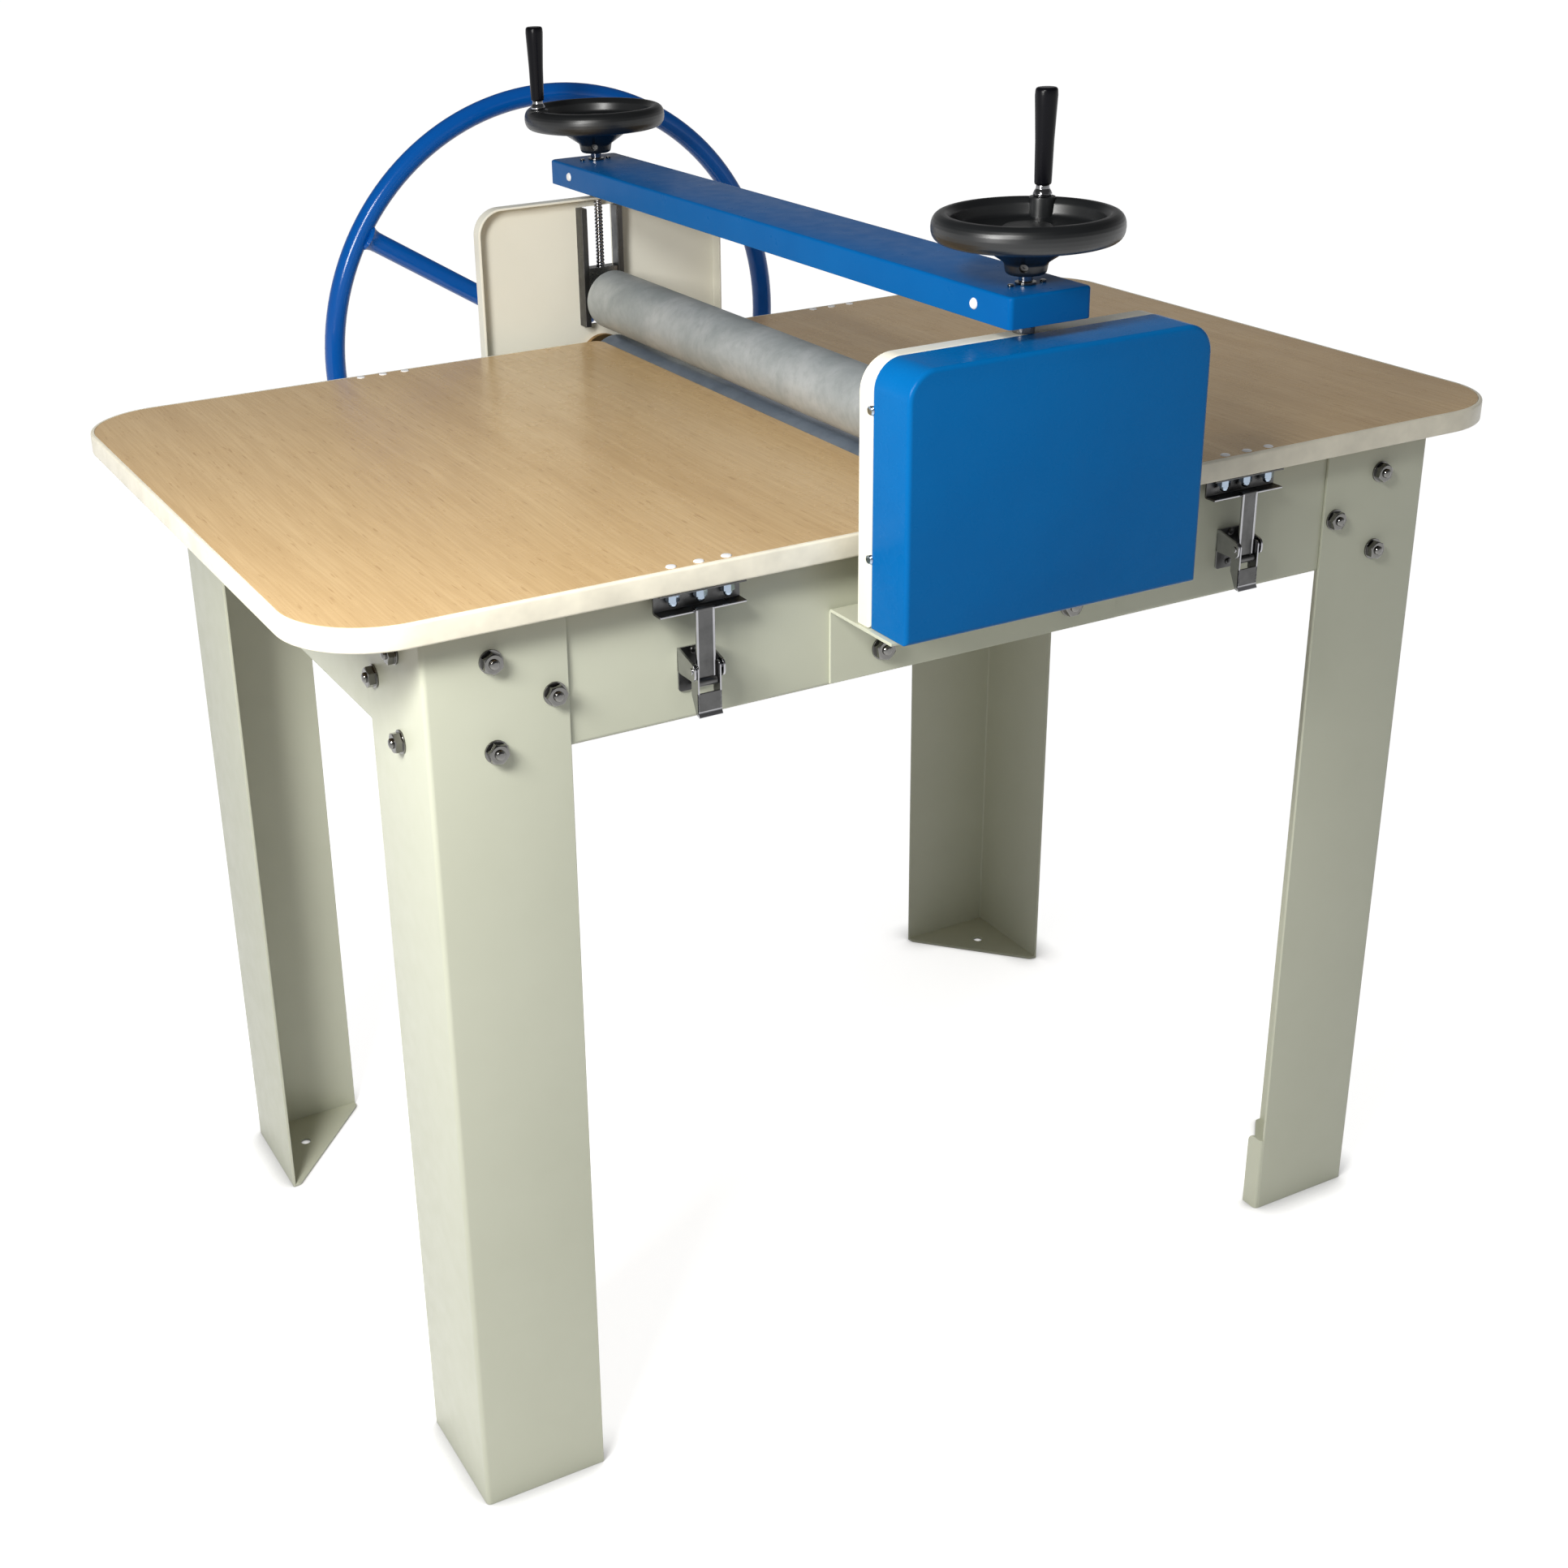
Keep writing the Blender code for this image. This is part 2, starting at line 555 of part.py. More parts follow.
def rollers():
    near_end = -GEAR_FRONT - 0.002
    upper = roller_profile(near_end, UPPER_JOURNAL, SPINDLE_Y + BLOCK_THICK / 2, UPPER_JOURNAL)
    place("upper_roller", turned(upper, (0, 0, UPPER_Z), "Y", 40), ROLLER_STEEL, (0, 0, UPPER_Z), smooth=35)
    lower = roller_profile(near_end, LOWER_JOURNAL, AXLE_END, LOWER_JOURNAL)
    place("lower_roller", turned(lower, (0, 0, LOWER_Z), "Y", 40), ROLLER_STEEL, (0, 0, LOWER_Z), smooth=35)


def gear(name, axis_z, tip, other_tip, first_tooth, bore):
    """Gear with long tapered teeth, the first at the angle `first_tooth`."""
    root = CLOSEST - other_tip - GEAR_TIP_GAP
    outline = []
    for tooth in range(GEAR_TEETH):
        turn = Matrix.Rotation(first_tooth + 2 * math.pi * tooth / GEAR_TEETH, 2)
        for radius, half in ((root, -GEAR_ROOT_HALF), (tip, -GEAR_TIP_HALF),
                             (tip, GEAR_TIP_HALF), (root, GEAR_ROOT_HALF)):
            point = turn @ Vector((math.sqrt(radius ** 2 - half ** 2), half))
            outline.append((point.x, axis_z + point.y))
    piece = place(name, prism(outline, "Y", -GEAR_FRONT, -GEAR_BACK), IRON, (0, 0, axis_z))
    shape(piece, rod((0, -GEAR_FRONT, axis_z), "Y", bore + GAP, -GEAR_WIDTH, 2 * GEAR_WIDTH, 24))


def gears():
    gear("lower_gear", LOWER_Z, LOWER_TIP, UPPER_TIP, math.pi / 2, LOWER_JOURNAL)
    half_pitch = math.pi / GEAR_TEETH
    gear("upper_gear", UPPER_Z, UPPER_TIP, LOWER_TIP, -math.pi / 2 + half_pitch, UPPER_JOURNAL)


# ---------------------------------------------------------------- drive wheel

def drive_wheel():
    """Welded ring of tube with three spokes and a hub, on the lower roller's far end."""
    ring = bmesh.new()
    around, across = 60, 10
    grid = []
    for i in range(around):
        a = 2 * math.pi * i / around
        circle = []
        for j in range(across):
            b = 2 * math.pi * j / across
            radius = WHEEL_RADIUS + WHEEL_TUBE * math.cos(b)
            circle.append(ring.verts.new((radius * math.cos(a), WHEEL_Y + WHEEL_TUBE * math.sin(b),
                                          LOWER_Z + radius * math.sin(a))))
        grid.append(circle)
    for i in range(around):
        for j in range(across):
            one, other = grid[i], grid[(i + 1) % around]
            after = (j + 1) % across
            ring.faces.new((one[j], one[after], other[after], other[j]))
    wheel = place("drive_wheel", ring, BLUE, (0, WHEEL_Y, LOWER_Z), smooth=40)
    shape(wheel, rod((0, WHEEL_Y, LOWER_Z), "Y", WHEEL_HUB, -WHEEL_HUB_HALF, WHEEL_HUB_HALF, 24), "UNION")
    for k in range(SPOKES):
        spoke = rod((0, 0, 0), "X", WHEEL_TUBE * 0.98, WHEEL_HUB * 0.6, WHEEL_RADIUS, 10)
        lean = Matrix.Rotation(-(SPOKE_ANGLE + 2 * math.pi * k / SPOKES), 4, "Y")
        seat = Matrix.Translation((0, WHEEL_Y, LOWER_Z)) @ lean
        bmesh.ops.transform(spoke, matrix=seat, verts=spoke.verts)
        shape(wheel, spoke, "UNION")
    reach = 2 * WHEEL_HUB_HALF
    shape(wheel, rod((0, WHEEL_Y, LOWER_Z), "Y", LOWER_JOURNAL + GAP, -reach, reach, 24))


def hub_cap():
    """Domed retaining cap on the end of the axle."""
    profile = [(0, 0), (CAP_RADIUS, 0), (CAP_RADIUS, CAP_HEIGHT * 0.45),
               (CAP_RADIUS * 0.8, CAP_HEIGHT * 0.85), (CAP_RADIUS * 0.4, CAP_HEIGHT), (0, CAP_HEIGHT)]
    seat = (0, AXLE_END + GAP, LOWER_Z)
    place("hub_cap", turned(profile, seat, "Y", 24), CHROME, seat, smooth=40)


# ---------------------------------------------------------------- crossbar, spindles, handwheels

def crossbar():
    """Folded channel, open below, over both spindles."""
    half = BAR_WIDTH / 2
    body = block((-half, -BAR_END, BAR_Z), (half, BAR_END, BAR_TOP))
    piece = place("crossbar", body, BLUE)
    inner = half - BAR_SHEET
    shape(piece, block((-inner, -BAR_END + BAR_SHEET, BAR_Z - BAR_SHEET), (inner, BAR_END - BAR_SHEET,
                                                                          BAR_TOP - BAR_SHEET)))
    for y in (-SPINDLE_Y, SPINDLE_Y):
        shape(piece, rod((0, y, BAR_Z), "Z", SPINDLE_THREAD + 2 * RUN, 0, 2 * BAR_HEIGHT, 24))


def spindle_post(side, turn):
    """Bearing block inside the crossbar's end, standing on the side plate."""
    low = BAR_Z + BAR_SHEET
    body = block((-POST_HALF_X, -SPINDLE_Y - POST_HALF_Y, low),
                 (POST_HALF_X, -SPINDLE_Y + POST_HALF_Y, BAR_TOP - BAR_SHEET - GAP))
    piece = place(f"spindle_post_{side}", body, STEEL, turned_round=turn)
    shape(piece, rod((0, -SPINDLE_Y, 0), "Z", POST_NECK, PLATE_TOP + GAP, low + BAR_SHEET, 24), "UNION")
    bore = SPINDLE_THREAD + RUN
    shape(piece, rod((0, -SPINDLE_Y, 0), "Z", bore, PLATE_TOP - BAR_LIFT, BAR_TOP + BAR_LIFT, 24))


def spindle_collar(side, turn):
    bore = SPINDLE_THREAD + RUN
    bm = tube((0, -SPINDLE_Y, BAR_TOP + GAP), "Z", bore, COLLAR, 0, COLLAR_THICK, 24)
    place(f"spindle_collar_{side}", bm, STEEL, turned_round=turn, smooth=40)


def spindle(side, turn):
    """Screw that turns in the crossbar and draws the bearing block up or down."""
    neck = BAR_TOP + COLLAR_THICK + 2 * GAP
    top = RIM_Z + SPINDLE_TOP
    profile = [(0, UPPER_Z + THREAD_REACH), (SPINDLE_THREAD, UPPER_Z + THREAD_REACH), (SPINDLE_THREAD, neck),
               (SPINDLE_NECK, neck), (SPINDLE_NECK, top), (0, top)]
    origin = (0, -SPINDLE_Y, BAR_TOP)
    place(f"spindle_{side}", turned(profile, (0, -SPINDLE_Y, 0), "Z", 24), CHROME, origin, turn, smooth=40)


def handwheel(side, turn):
    """Dished moulding with a heavy rim and a tapered hub, bored from below for the spindle."""
    top = RIM_Z + HAND_RIM_HEIGHT
    foot = BAR_TOP + HAND_HUB_LIFT
    bore = SPINDLE_NECK + GAP
    seat = RIM_Z + SPINDLE_TOP + GAP
    profile = [(0, seat), (bore, seat), (bore, foot), (HAND_HUB - 0.001, foot), (HAND_HUB, foot + 0.001),
               (HAND_HUB, RIM_Z - 0.023), (HAND_RADIUS * 0.80, RIM_Z),
               (HAND_RADIUS * 0.93, RIM_Z + 0.001), (HAND_RADIUS, RIM_Z + 0.007), (HAND_RADIUS, top - 0.007),
               (HAND_RADIUS * 0.95, top), (HAND_RADIUS * 0.87, top), (HAND_RADIUS * 0.80, top - 0.008),
               (HAND_RADIUS * 0.60, RIM_Z + 0.0065), (HAND_RADIUS * 0.30, RIM_Z + 0.006),
               (HAND_RADIUS * 0.26, RIM_Z + 0.012), (0, RIM_Z + 0.0125)]
    bm = turned(profile, (0, -SPINDLE_Y, 0), "Z", 40)
    piece = place(f"handwheel_{side}", bm, BLACK, (0, -SPINDLE_Y, BAR_TOP), turn, smooth=50)
    crank_at = (*crank_place(side), 0)
    shape(piece, rod(crank_at, "Z", CRANK_BOSS, RIM_Z + 0.003, top + CRANK_BOSS_PROUD, 20), "UNION")
    shape(piece, rod(crank_at, "Z", CRANK_PIN + GAP, RIM_Z - HAND_RIM_HEIGHT, top + HAND_RIM_HEIGHT, 16))


def crank_place(side):
    """Handle's place, in the near side's coordinates, for either handwheel."""
    angle = CRANK_ANGLE_NEAR if side == "near" else CRANK_ANGLE_FAR + math.pi
    return CRANK_RADIUS * math.cos(angle), -SPINDLE_Y + CRANK_RADIUS * math.sin(angle)


def crank(side, turn):
    """Pin through the handwheel's rim with a collar, and the grip that turns on it."""
    x, y = crank_place(side)
    seat = RIM_Z + HAND_RIM_HEIGHT + CRANK_BOSS_PROUD + GAP
    foot = seat + CRANK_COLLAR_HEIGHT
    pin_top = foot + GRIP_LENGTH * 0.6
    pin = [(0, RIM_Z + 0.002), (CRANK_PIN, RIM_Z + 0.002), (CRANK_PIN, seat), (CRANK_COLLAR, seat),
           (CRANK_COLLAR, seat + 0.004), (CRANK_PIN + 0.0015, foot), (CRANK_PIN, foot), (CRANK_PIN, pin_top),
           (0, pin_top)]
    place(f"crank_pin_{side}", turned(pin, (x, y, 0), "Z", 16), CHROME, (x, y, seat), turn, smooth=40)
    low = foot + GAP
    high = low + GRIP_LENGTH
    bore = CRANK_PIN + RUN
    grip = [(0, pin_top + 2 * RUN), (bore, pin_top + 2 * RUN), (bore, low), (GRIP_FOOT, low),
            (GRIP_FOOT * 1.06, low + GRIP_LENGTH * 0.25), (GRIP_HEAD, high - GRIP_LENGTH * 0.12),
            (GRIP_HEAD, high - 0.003), (GRIP_HEAD - 0.002, high), (0, high)]
    place(f"crank_grip_{side}", turned(grip, (x, y, 0), "Z", 20), BLACK, (x, y, low), turn, smooth=40)


# ---------------------------------------------------------------- toggle latches

def keeper_outline():
    """Channel under the wing, open outwards; its lower lip takes the strap's hook."""
    top = BOARD_UNDER - GAP
    bottom = BOARD_UNDER - KEEPER_HEIGHT
    web = -(HALF_W - KEEPER_BACK)
    nose = -(HALF_W - KEEPER_NOSE)
    return [(web, top), (web, bottom), (nose, bottom), (nose, bottom + KEEPER_SHEET),
            (web - KEEPER_SHEET, bottom + KEEPER_SHEET), (web - KEEPER_SHEET, top - KEEPER_SHEET),
            (nose, top - KEEPER_SHEET), (nose, top)]


def strap_outline():
    """Strap with a hook over the keeper's lip above and an eye round the hook pin below."""
    outer = -(HOOK_PIN_Y + STRAP_SHEET / 2)
    inner = outer + STRAP_SHEET
    spread = math.asin(STRAP_SHEET / 2 / STRAP_EYE)
    eye = [math.pi / 2 + spread + 2 * (math.pi - spread) * k / 18 for k in range(19)]
    return [(inner, HOOK_TOP - STRAP_SHEET), (inner + STRAP_HOOK, HOOK_TOP - STRAP_SHEET),
            (inner + STRAP_HOOK, HOOK_TOP), (outer, HOOK_TOP)] + \
        [(-HOOK_PIN_Y + STRAP_EYE * math.cos(a), HOOK_PIN_Z + STRAP_EYE * math.sin(a)) for a in eye]


def latch(side, end):
    """Keeper, base, lever and strap of one latch, drawn on the near side and turned round for the far."""
    turn = side == "far"
    x = LATCH_X if (end == "right") != turn else -LATCH_X
    name = f"{side}_{end}"
    place(f"latch_keeper_{name}", prism(keeper_outline(), "X", x - KEEPER_HALF, x + KEEPER_HALF), STEEL,
          (x, -HALF_W, BOARD_UNDER), turn)

    back = -RAIL_FACE - GAP
    front = -(PIVOT_Y + EAR_OUT)
    ear = EAR_HALF - EAR_SHEET
    channel = [(x - EAR_HALF, back), (x + EAR_HALF, back), (x + EAR_HALF, front), (x + ear, front),
               (x + ear, back - EAR_SHEET), (x - ear, back - EAR_SHEET), (x - ear, front),
               (x - EAR_HALF, front)]
    body = prism(channel, "Z", PIVOT_Z - BASE_BELOW, PIVOT_Z + BASE_ABOVE)
    base = place(f"latch_base_{name}", body, CHROME, (x, -RAIL_FACE, PIVOT_Z), turn)
    pivot = (x, -PIVOT_Y, PIVOT_Z)
    shape(base, rod(pivot, "X", PIVOT_PIN + RUN, -2 * EAR_HALF, 2 * EAR_HALF, 12))

    cheek = LEVER_HALF - LEVER_SHEET
    face = -(PIVOT_Y + LEVER_OUT)
    inner = -(PIVOT_Y - LEVER_IN)
    outline = [(x - LEVER_HALF, inner), (x - cheek, inner), (x - cheek, face + LEVER_SHEET),
               (x + cheek, face + LEVER_SHEET), (x + cheek, inner), (x + LEVER_HALF, inner),
               (x + LEVER_HALF, face), (x - LEVER_HALF, face)]
    channel = prism(outline, "Z", HOOK_PIN_Z - LEVER_TAIL, PIVOT_Z + LEVER_UP)
    lever = place(f"latch_lever_{name}", channel, CHROME, pivot, turn)
    shape(lever, block((x - cheek, face - LEVER_SHEET, HOOK_PIN_Z - PAD_START),
                       (x + cheek, inner + LEVER_SHEET, PIVOT_Z + 2 * LEVER_UP)))
    hook_pin = (x, -HOOK_PIN_Y, HOOK_PIN_Z)
    middle = cheek + LEVER_SHEET / 2
    shape(lever, rod(hook_pin, "X", HOOK_PIN, -middle, middle, 12), "UNION")
    for low, high in ((-EAR_HALF - 0.0005, -middle), (middle, EAR_HALF + 0.0005)):
        shape(lever, rod(pivot, "X", PIVOT_PIN, low, high, 12), "UNION")

    strap = place(f"latch_strap_{name}", prism(strap_outline(), "X", x - STRAP_HALF, x + STRAP_HALF), CHROME,
                  hook_pin, turn)
    shape(strap, rod(hook_pin, "X", HOOK_PIN + RUN, -2 * STRAP_HALF, 2 * STRAP_HALF, 12))


# ---------------------------------------------------------------- the press

def main():
    for side, turn in (("left", False), ("right", True)):
        wing(side, turn)
        edge_trim(side, turn)
        end_rail(side, turn)
    for side, turn in (("near", False), ("far", True)):
        side_rail(side, turn)
        bracket(side, turn)
        side_plate(side, turn)
        lower_bearing(side, turn)
        bearing_block(side, turn)
        spindle_post(side, turn)
        spindle_collar(side, turn)
        spindle(side, turn)
        handwheel(side, turn)
        crank(side, turn)
        for end in ("left", "right"):
            leg(end, side)
            latch(side, end)
    drive_cover()
    rollers()
    gears()
    drive_wheel()
    hub_cap()
    crossbar()


main()
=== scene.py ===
"""Looks of a table-mounted roller press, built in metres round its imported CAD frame."""

from math import atan2, ceil, copysign, cos, pi, radians, sin, tan

import bmesh
import bpy
from mathutils import Matrix, Vector

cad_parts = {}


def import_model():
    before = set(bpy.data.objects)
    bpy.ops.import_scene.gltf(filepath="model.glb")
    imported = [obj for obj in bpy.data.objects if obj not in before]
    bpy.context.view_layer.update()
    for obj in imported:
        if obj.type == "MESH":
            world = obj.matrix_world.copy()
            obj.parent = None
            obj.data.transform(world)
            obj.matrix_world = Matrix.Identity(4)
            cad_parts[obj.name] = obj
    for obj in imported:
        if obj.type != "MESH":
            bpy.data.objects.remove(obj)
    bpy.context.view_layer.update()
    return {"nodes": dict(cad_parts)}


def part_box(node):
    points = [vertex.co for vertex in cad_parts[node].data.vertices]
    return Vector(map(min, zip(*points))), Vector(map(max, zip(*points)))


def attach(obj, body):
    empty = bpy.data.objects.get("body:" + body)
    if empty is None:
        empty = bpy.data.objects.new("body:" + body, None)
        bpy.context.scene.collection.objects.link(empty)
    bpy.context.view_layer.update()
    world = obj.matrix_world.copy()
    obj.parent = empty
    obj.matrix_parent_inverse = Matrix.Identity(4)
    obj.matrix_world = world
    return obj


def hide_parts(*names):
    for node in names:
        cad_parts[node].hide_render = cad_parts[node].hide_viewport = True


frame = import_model()
GAP = 0.0003            # between a fixed piece and what carries it


# ---- places from the frame

def low(node):
    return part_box(node)[0]


def high(node):
    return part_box(node)[1]


def middle(node):
    return (low(node) + high(node)) / 2


MID_Y = middle("crossbar").y
HALF_L = high("edge_trim_right").x
HALF_W = high("edge_trim_left").y - MID_Y
TABLE_Z = high("wing_left").z
BOARD_Z = low("wing_left").z
LEG_X = high("leg_near_right").x
LEG_Y = high("leg_far_left").y - MID_Y
LEG_TOP = high("leg_near_left").z
RAIL_FACE = high("rail_far").y - MID_Y
RAIL_LOW = low("rail_near").z
RAIL_REACH = high("rail_near").x
ROLLER = (high("upper_roller").z - low("upper_roller").z) / 2
UPPER_Z = middle("upper_roller").z
LOWER_Z = middle("lower_roller").z
RIM_Y = MID_Y - high("side_plate_near").y
PLATE_Y = MID_Y - low("side_plate_near").y
PLATE_HALF = high("side_plate_near").x
PLATE_Z = low("side_plate_near").z
PLATE_TOP = high("side_plate_near").z
COVER_Y = MID_Y - low("drive_cover").y
COVER_HALF = high("drive_cover").x
BRACKET_HALF = high("bracket_near").x
BRACKET_Z = low("bracket_near").z
SHELF_Z = high("bracket_near").z
SHELF_Y = MID_Y - low("bracket_near").y
BAR_HALF = high("crossbar").x
BAR_Z = low("crossbar").z
BAR_TOP = high("crossbar").z
BAR_END = high("crossbar").y - MID_Y
SPINDLE_Y = MID_Y - middle("spindle_near").y
SPINDLE_FOOT = low("spindle_near").z
COLLAR_TOP = high("spindle_collar_near").z
HAND_RADIUS = (high("handwheel_near").x - low("handwheel_near").x) / 2
HAND_FOOT = low("handwheel_near").z
WHEEL_Y = middle("drive_wheel").y - MID_Y
WHEEL_OUT = high("drive_wheel").x
AXLE_END = high("lower_roller").y - MID_Y
LATCH_X = middle("latch_strap_near_right").x
SHEET = 0.003           # thickness of the frame's sheet
CUT = 0.0008            # rounding of a cut sheet edge
RUN = 0.0008            # between the lower roller and the table's ends
SPINDLE_HOLE = 0.0056   # radius


# ---- materials

def add_node(tree, kind, inputs=(), **settings):
    """Shader node with its settings, and with a value or a link on each input given."""
    made = tree.nodes.new("ShaderNode" + kind)
    for key, value in settings.items():
        setattr(made, key, value)
    for key, value in dict(inputs).items():
        if isinstance(value, bpy.types.NodeSocket):
            tree.links.new(value, made.inputs[key])
        else:
            made.inputs[key].default_value = value
    return made


def maths(tree, operation, one, other, clamp=False):
    return add_node(tree, "Math", {0: one, 1: other}, operation=operation, use_clamp=clamp).outputs[0]


class Nodes:
    """Short ways to add and join nodes in one material."""

    def __init__(self, name, colour, roughness, metallic=0.0, **sockets):
        self.material = bpy.data.materials.new(name)
        self.material.use_nodes = True
        self.tree = self.material.node_tree
        self.shader = self.tree.nodes["Principled BSDF"]
        self.shader.inputs["Base Color"].default_value = (*colour, 1)
        self.shader.inputs["Roughness"].default_value = roughness
        self.shader.inputs["Metallic"].default_value = metallic
        for socket, value in sockets.items():
            self.shader.inputs[socket.replace("_", " ")].default_value = value
        self.material.diffuse_color = (*colour, 1)
        self.place = self.tree.nodes.new("ShaderNodeTexCoord").outputs["Object"]

    def node(self, kind, inputs=(), **settings):
        return add_node(self.tree, kind, inputs, **settings)

    def stretched(self, scale, place=None):
        return self.node("Mapping", {"Vector": place or self.place, "Scale": scale}).outputs[0]

    def noise(self, scale, detail=2.0, rough=0.5, place=None, distortion=0.0):
        inputs = {"Vector": place or self.place, "Scale": scale, "Detail": detail, "Roughness": rough,
                  "Distortion": distortion}
        return self.node("TexNoise", inputs).outputs["Fac"]

    def ramp(self, value, stops):
        made = self.node("ValToRGB", {"Fac": value})
        points = made.color_ramp.elements
        while len(points) < len(stops):
            points.new(0.5)
        for point, (place, colour) in zip(points, stops):
            point.position = place
            point.color = (*colour, 1)
        return made.outputs["Color"]

    def grey(self, value, stops):
        return self.ramp(value, [(place, (level,) * 3) for place, level in stops])

    def mix(self, factor, one, other):
        one, other = ((*c, 1) if isinstance(c, tuple) else c for c in (one, other))
        return self.node("Mix", {0: factor, 6: one, 7: other}, data_type="RGBA").outputs[2]

    def use(self, socket, value):
        self.tree.links.new(value, self.shader.inputs[socket])

    def bump(self, height, distance, strength, under=None):
        inputs = {"Height": height, "Distance": distance, "Strength": strength}
        return self.node("Bump", {**inputs, "Normal": under} if under else inputs).outputs[0]


def paint(name, colour, shade, roughness, peel, gloss=0.5):
    """Sprayed enamel: slight clouding, orange peel, and fine dust in the gloss."""
    n = Nodes(name, colour, roughness, Specular_IOR_Level=gloss)
    clouds = n.noise(5.0, 4.0, 0.6)
    n.use("Base Color", n.mix(n.grey(clouds, [(0.35, 0.0), (0.7, 1.0)]), colour, shade))
    n.use("Roughness", n.grey(n.noise(60.0, 3.0), [(0.3, roughness * 0.9), (0.75, roughness * 1.2)]))
    coarse = n.bump(n.noise(160.0, 2.0, 0.4), 0.0002, peel)
    n.use("Normal", n.bump(n.noise(520.0, 1.0, 0.4), 0.0001, peel * 0.5, coarse))
    return n.material


def laminate():
    """Beech-grained laminate: long fine grain along the rollers, pale bands and short darker flecks."""
    n = Nodes("laminate", (0.61, 0.43, 0.21), 0.24, IOR=1.5)
    wavy = n.noise(1.6, 2.0, 0.5, n.stretched((1.0, 0.35, 1.0)))
    drift = n.node("CombineXYZ", {"X": maths(n.tree, "MULTIPLY", wavy, 0.09)}).outputs[0]
    lean = n.node("VectorMath", {0: n.place, 1: drift}, operation="ADD").outputs[0]

    def along(x, y):
        return n.stretched((x, y, 1.0), lean)

    bands = n.noise(1.0, 5.0, 0.62, along(26.0, 1.3), 0.25)
    fine = n.noise(1.0, 3.0, 0.6, along(420.0, 9.0))
    flecks = n.noise(1.0, 1.0, 0.5, along(360.0, 34.0))
    wide = n.noise(1.0, 2.0, 0.5, along(4.5, 0.7))
    colour = n.ramp(bands, [(0.28, (0.585, 0.395, 0.19)), (0.5, (0.655, 0.457, 0.232)), (0.70, (0.71, 0.51, 0.27))])
    colour = n.mix(n.grey(wide, [(0.35, 0.0), (0.7, 0.35)]), colour, (0.56, 0.38, 0.18))
    colour = n.mix(n.grey(fine, [(0.42, 0.32), (0.6, 0.0)]), colour, (0.46, 0.295, 0.13))
    colour = n.mix(n.grey(flecks, [(0.66, 0.0), (0.74, 0.5)]), colour, (0.38, 0.22, 0.09))
    n.use("Base Color", colour)
    n.use("Roughness", n.grey(n.noise(40.0, 3.0), [(0.3, 0.235), (0.75, 0.30)]))
    n.use("Normal", n.bump(fine, 0.0001, 0.10, n.bump(n.noise(90.0, 1.0), 0.0002, 0.10)))
    return n.material


def worn_steel(name, light, dark, roughness, metallic, blotch, scratch):
    """Ground steel with cloudy oxide and fine marks round the axis."""
    n = Nodes(name, light, roughness, metallic)
    clouds = n.noise(blotch, 6.0, 0.62, distortion=0.6)
    small = n.noise(blotch * 6.0, 4.0, 0.65)
    colour = n.mix(n.grey(clouds, [(0.36, 0.0), (0.66, 1.0)]), dark, light)
    colour = n.mix(n.grey(small, [(0.45, 0.0), (0.75, 0.35)]), colour, tuple(c * 0.7 for c in dark))
    rings = n.noise(1.0, 2.0, 0.6, n.stretched((18.0, scratch, 18.0)))
    n.use("Base Color", n.mix(n.grey(rings, [(0.35, 0.12), (0.62, 0.0)]), colour, dark))
    n.use("Roughness", n.grey(clouds, [(0.3, roughness * 1.15), (0.7, roughness * 0.88)]))
    n.use("Normal", n.bump(rings, 0.0001, 0.12, n.bump(small, 0.0002, 0.10)))
    return n.material


def bright(name, colour, roughness, marks=0.05, scale=220.0):
    """Plated metal with faint smears and pitting."""
    n = Nodes(name, colour, roughness, 1.0)
    smear = n.noise(scale * 0.3, 3.0, 0.6)
    n.use("Roughness", n.grey(smear, [(0.3, roughness * 0.7), (0.75, roughness * 1.5)]))
    n.use("Base Color", n.mix(n.grey(smear, [(0.4, 0.0), (0.8, 0.6)]), colour, tuple(c * 0.72 for c in colour)))
    n.use("Normal", n.bump(n.noise(scale * 4, 2.0), 0.0001, marks))
    return n.material


def moulded(name, colour, roughness, grain, strength, gloss=0.4):
    """Moulded plastic with a fine leather-like grain and slight polish where hands rub it."""
    n = Nodes(name, colour, roughness, Specular_IOR_Level=gloss)
    rub = n.noise(28.0, 3.0, 0.6)
    n.use("Roughness", n.grey(rub, [(0.3, roughness * 0.85), (0.75, roughness * 1.2)]))
    n.use("Base Color", n.mix(n.grey(rub, [(0.35, 0.0), (0.75, 1.0)]), colour, tuple(c * 0.8 for c in colour)))
    n.use("Normal", n.bump(n.noise(grain, 2.0, 0.5), 0.0001, strength))
    return n.material


CREAM = paint("frame_enamel", (0.575, 0.59, 0.475), (0.545, 0.56, 0.445), 0.36, 0.16, 0.35)
PALE = paint("plate_enamel", (0.85, 0.83, 0.725), (0.82, 0.80, 0.69), 0.36, 0.16, 0.35)
BLUE = paint("blue_enamel", (0.0008, 0.132, 0.40), (0.0008, 0.116, 0.36), 0.26, 0.10, 0.08)
WHEEL_BLUE = paint("wheel_enamel", (0.0012, 0.090, 0.385), (0.0010, 0.078, 0.345), 0.16, 0.06, 0.32)
BAR_BLUE = paint("bar_enamel", (0.0006, 0.108, 0.35), (0.0006, 0.092, 0.31), 0.30, 0.10, 0.05)
WOOD = laminate()
CORE = moulded("board_edge", (0.42, 0.27, 0.14), 0.7, 700.0, 0.4)
EDGE = moulded("edge_moulding", (0.90, 0.85, 0.70), 0.34, 900.0, 0.12)
ROLL = worn_steel("roller_steel", (0.46, 0.485, 0.49), (0.32, 0.35, 0.355), 0.52, 0.25, 16.0, 900.0)
